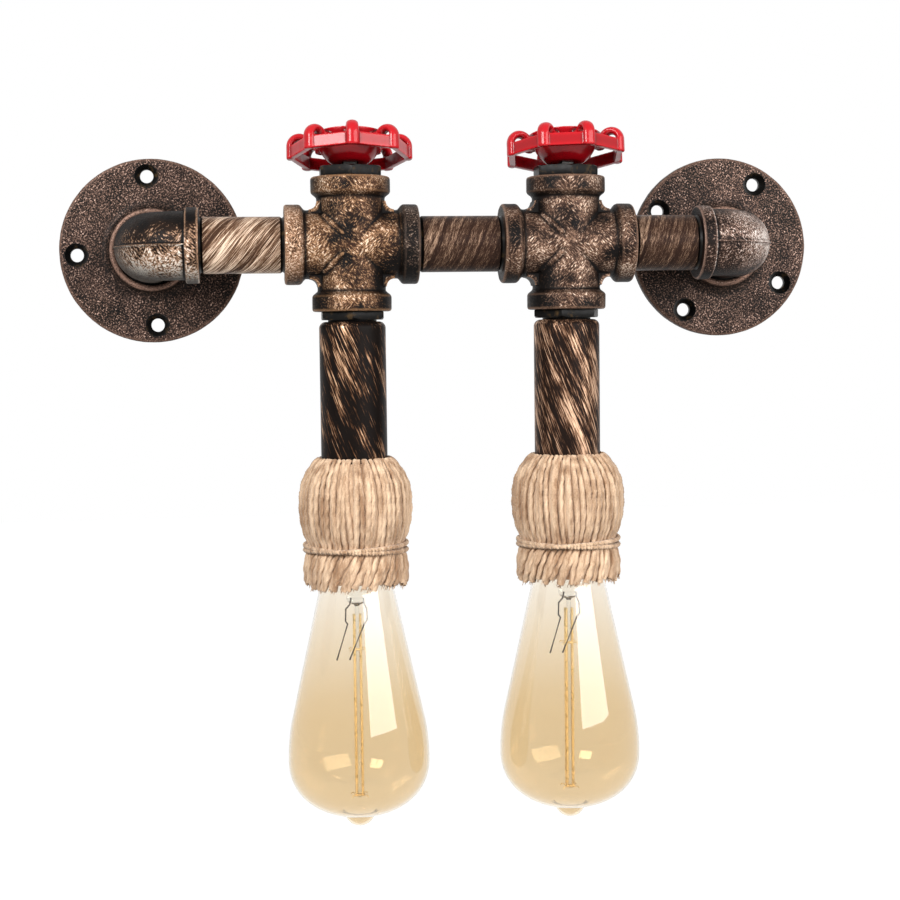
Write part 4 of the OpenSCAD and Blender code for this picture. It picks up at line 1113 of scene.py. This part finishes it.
# %% [markdown]
# The tie holds the strands in: one length of twine goes round twice, crosses over itself
# at the front and is knotted at the back. The crossing lifts the second turn over the
# first, and the knot is a short coil round the two ends with its tails hanging.

# %% Ties
TIE_R, TIE_MID_R, TIE_SWING, CROSSING = 1.2, 22.75, 1.9, 0.07
KNOT_R, KNOT_HALF, KNOT_TURNS = 1.75, 2.2, 2.2
TIE_STEPS, KNOT_STEPS, TAIL_POINTS = 192, 48, 12
for side, x in cross_x.items():
    rng = random.Random(f"tie {side}")
    run = []
    wobble = [rng.uniform(-0.12, 0.12) for _ in range(8)]
    for k in range(TIE_STEPS + 1):
        u = 0.01 + 1.98 * k / TIE_STEPS
        a = math.pi / 2 + math.tau * u
        lift = 1.75 * math.exp(-((u + CROSSING - 1.5) / 0.04) ** 2)
        z = WAIST_Z + TIE_SWING * math.cos(math.pi * (u + CROSSING))
        z += wobble[int(u * 4) % 8] * math.sin(math.tau * 4 * u)
        r = TIE_MID_R + lift
        run.append((*round_axis(x, r, a), z, TIE_R))
    knot = []
    for k in range(KNOT_STEPS + 1):
        t = math.tau * KNOT_TURNS * k / KNOT_STEPS
        knot.append((x - KNOT_HALF + 2 * KNOT_HALF * k / KNOT_STEPS,
                     PIPE_Y + TIE_MID_R + 0.2 + KNOT_R * math.cos(t),
                     WAIST_Z + TIE_SWING + KNOT_R * math.sin(t), 0.95))
    tails = [[(x + s * (1.6 + 0.16 * k), PIPE_Y + TIE_MID_R + 1.9 + 0.03 * k,
               WAIST_Z + TIE_SWING - 0.75 * k, 1.05) for k in range(TAIL_POINTS)] for s in (-1, 1)]
    tie = swept(f"jute_tie_{side}", [run, knot] + tails, ply, pitch=6.0)
    finish(tie, f"tie_twine_{side}", "jute_twine", angle=60)

# %% [markdown]
# The bulbs are blown in a mould: a narrow throat, a straight taper, a round shoulder and
# a shallow dome with the sealed tip of the pumping tube. The outline is drawn down the
# outside and back up the inside, so the glass has its real wall of 0.8 mm.

# %% Bulb glass
BULB_Z, BULB_R, DOME, GLASS = -232.0, 32.0, 25.5, 0.8
BROW, BROW_LONG, ROUNDING = 19.2, 55.04, 2.2


def bulb_side(inset):
    """Outside of the bulb drawn in by inset, from its neck down to its widest part"""
    throat = [(11.8, -134), (11.8, -140), (12.0, -141.5), (12.7, -143.2), (13.9, -145), (15.3, -147.2)]
    foot, top = throat[-1], (29.99, BULB_Z + BROW)
    taper = [tuple(a + (b - a) * k / 10 for a, b in zip(foot, top)) for k in range(1, 10)]
    brow = [(BULB_R * math.sqrt(1 - (d / BROW_LONG) ** 2), BULB_Z + d)
            for d in (BROW * k / 8 for k in range(8, 0, -1))]
    return [(r - inset, h) for r, h in throat + taper + brow]


def bulb_dome(inset, last):
    """Dome drawn in by inset, from the widest part to the radius last"""
    wide, deep = BULB_R - inset, DOME - inset
    points = []
    for k in range(25):
        r = wide + (last - wide) * (k / 24) ** 2
        points.append((r, BULB_Z - deep * (1 - (r / wide) ** ROUNDING) ** (1 / ROUNDING)))
    return points


tip = [(7.6, -257.2), (6.9, -258.2), (5.9, -259.8), (4.6, -261.3), (2.6, -262.4), (0, -262.8)]
tip_inside = [(6.8, -256.5), (6.1, -257.8), (5.1, -259.3), (3.9, -260.6), (2.2, -261.6), (0, -261.95)]
inside = bulb_side(GLASS) + bulb_dome(GLASS, 7.4) + tip_inside
bulb_outline = bulb_side(0) + bulb_dome(0, 8.2) + tip + inside[::-1] + [bulb_side(0)[0]]
for side, x in cross_x.items():
    glass = placed(turned(f"amber_bulb_{side}", bulb_outline, steps=128), (x, PIPE_Y, 0))
    finish(glass, f"bulb_glass_{side}", "amber_glass", angle=60)

# %% [markdown]
# Inside the bulb a glass stem is pinched round two lead wires, and carries a thin glass rod
# with a star of fine hooks at each end. The gold-coloured filament runs up and down
# between the hooks. Wires are round splines made into meshes.

# %% Stem, leads and filament
stem_outline = [(0, -135), (10.8, -135), (10.9, -135.6), (10.8, -137), (8.6, -138.6), (6.2, -141),
                (4.7, -144.5), (4.1, -149), (4.1, -154), (4.6, -157), (4.7, -158.6), (4.2, -160),
                (2.9, -161), (1.4, -161.6), (0.9, -162.4), (0.9, -249.6), (0.6, -250.2), (0, -250.36)]
lead_ways = [[(-2.6, -3.0, -158.0), (-3.4, -3.2, -161.0), (-5.2, -3.4, -163.0), (-5.4, -3.6, -168.4),
              (-4.5, -3.8, -169.8), (-9.6, -5.0, -185.8)],
             [(2.6, -3.0, -158.0), (3.2, -3.2, -161.0), (4.2, -3.4, -163.0), (4.4, -3.6, -168.0),
              (3.1, -3.8, -169.6), (-3.9, -5.0, -185.8)]]
round_wire = lobed_section(lobes=1, depth=0.0, points=10)
HOOK_Z, STAR_Z, RING, FILAMENT_TOP = -182.0, -249.0, 1.9, -166.0
LEAD_R, FILAMENT_R, HOOK_R = 0.38, 0.62, 0.22
hook = ((1.0, -0.6), (3.0, 0.2), (4.6, 0.4), (5.2, -0.5))


def hoop(x, radius, z, wire):
    """A ring of wire round the lamp's axis"""
    return [(*round_axis(x, radius, math.tau * k / 24), z, wire) for k in range(25)]


for side, x in cross_x.items():
    stem = placed(turned(f"clear_stem_{side}", stem_outline, steps=64), (x, PIPE_Y, 0))
    finish(stem, f"glass_stem_{side}", "clear_glass", angle=60)
    runs = [[(x + px, PIPE_Y + py, z, LEAD_R) for px, py, z in way] for way in lead_ways]
    leads = swept(f"bent_leads_{side}", runs, round_wire, pitch=50.0)
    finish(leads, f"bulb_leads_{side}", "lead_wire", angle=60)
    runs = []
    for k in range(4):
        a = math.pi / 4 + math.pi / 2 * k
        runs.append([(*round_axis(x, RING, a), FILAMENT_TOP + (STAR_Z - FILAMENT_TOP) * j / 12, FILAMENT_R)
                     for j in range(13)])
        for hook_z in (HOOK_Z, STAR_Z):
            runs.append([(*round_axis(x, r, a), hook_z + dz, HOOK_R) for r, dz in hook])
    runs.append(hoop(x, radius=2.1, z=STAR_Z + 0.4, wire=0.4))
    runs.append(hoop(x, radius=1.6, z=HOOK_Z + 0.2, wire=0.5))
    wires = swept(f"gold_filament_{side}", runs, round_wire, pitch=50.0)
    finish(wires, f"filament_{side}", "filament", angle=60)
cleared(ply, round_wire)

# %% [markdown]
# The studio: a pale floor well below and a bright room all round. The room shows white to
# the camera, in gloss and through glass, and lights matt surfaces at a plain level, so that
# colours come out about as they are written.

# %% White room
FLOOR_Z = -0.55  # in metres


def seen_rays(tree):
    """1 for rays that show the room to the camera, in gloss or through glass, and else 0"""
    ray = add(tree, "ShaderNodeLightPath", {}).node.outputs
    seen = reckon(tree, "MAXIMUM", ray["Is Camera Ray"], ray["Is Glossy Ray"])
    return reckon(tree, "MAXIMUM", seen, ray["Is Transmission Ray"])


pick()
bpy.ops.mesh.primitive_plane_add(size=8, location=(0, 0, FLOOR_Z))
floor = bpy.context.object
floor.name = "studio_floor"
material, tree, shader = new_finish("Matt white paper")
glow = ramp(tree, seen_rays(tree), 0.0, 1.0, high=0.85)
fill(tree, shader, {"Base Color": srgb("#a2a2a0"), "Roughness": 0.9, "Emission Color": srgb("#ffffff"),
                    "Emission Strength": glow})
floor.data.materials.append(material)

world = bpy.data.worlds.new("White room")
world.use_nodes = True
tree = world.node_tree
level = ramp(tree, seen_rays(tree), 0.0, 1.0, low=0.3)
fill(tree, tree.nodes["Background"], {"Color": srgb("#ffffff"), "Strength": level})
bpy.context.scene.world = world
print("room", world.name, "above", floor.name)

# %% [markdown]
# Two large soft lamps stand in front, left and right of the camera, and look at the middle of
# the part. They draw the pale reflections on the bulbs. Their places and sizes are in metres.

# %% Lamps
target = Vector((0.14, -0.04, -0.06))
lamps = [("soft_lamp_left", (-0.45, -0.75, 0.35), (0.4, 0.4), 11.0),
         ("soft_lamp_right", (0.7, -0.75, 0.2), (0.9, 0.6), 11.0)]
for name, place, (wide, high), watts in lamps:
    bpy.ops.object.light_add(type="AREA", location=place)
    lamp = bpy.context.object
    lamp.name = name
    lamp.data.shape = "RECTANGLE"
    lamp.data.size = wide
    lamp.data.size_y = high
    lamp.data.energy = watts
    lamp.rotation_euler = (target - Vector(place)).to_track_quat("-Z", "Y").to_euler()
bpy.context.scene.view_settings.view_transform = "Standard"
print("studio lit by", len(lamps), "lamps")
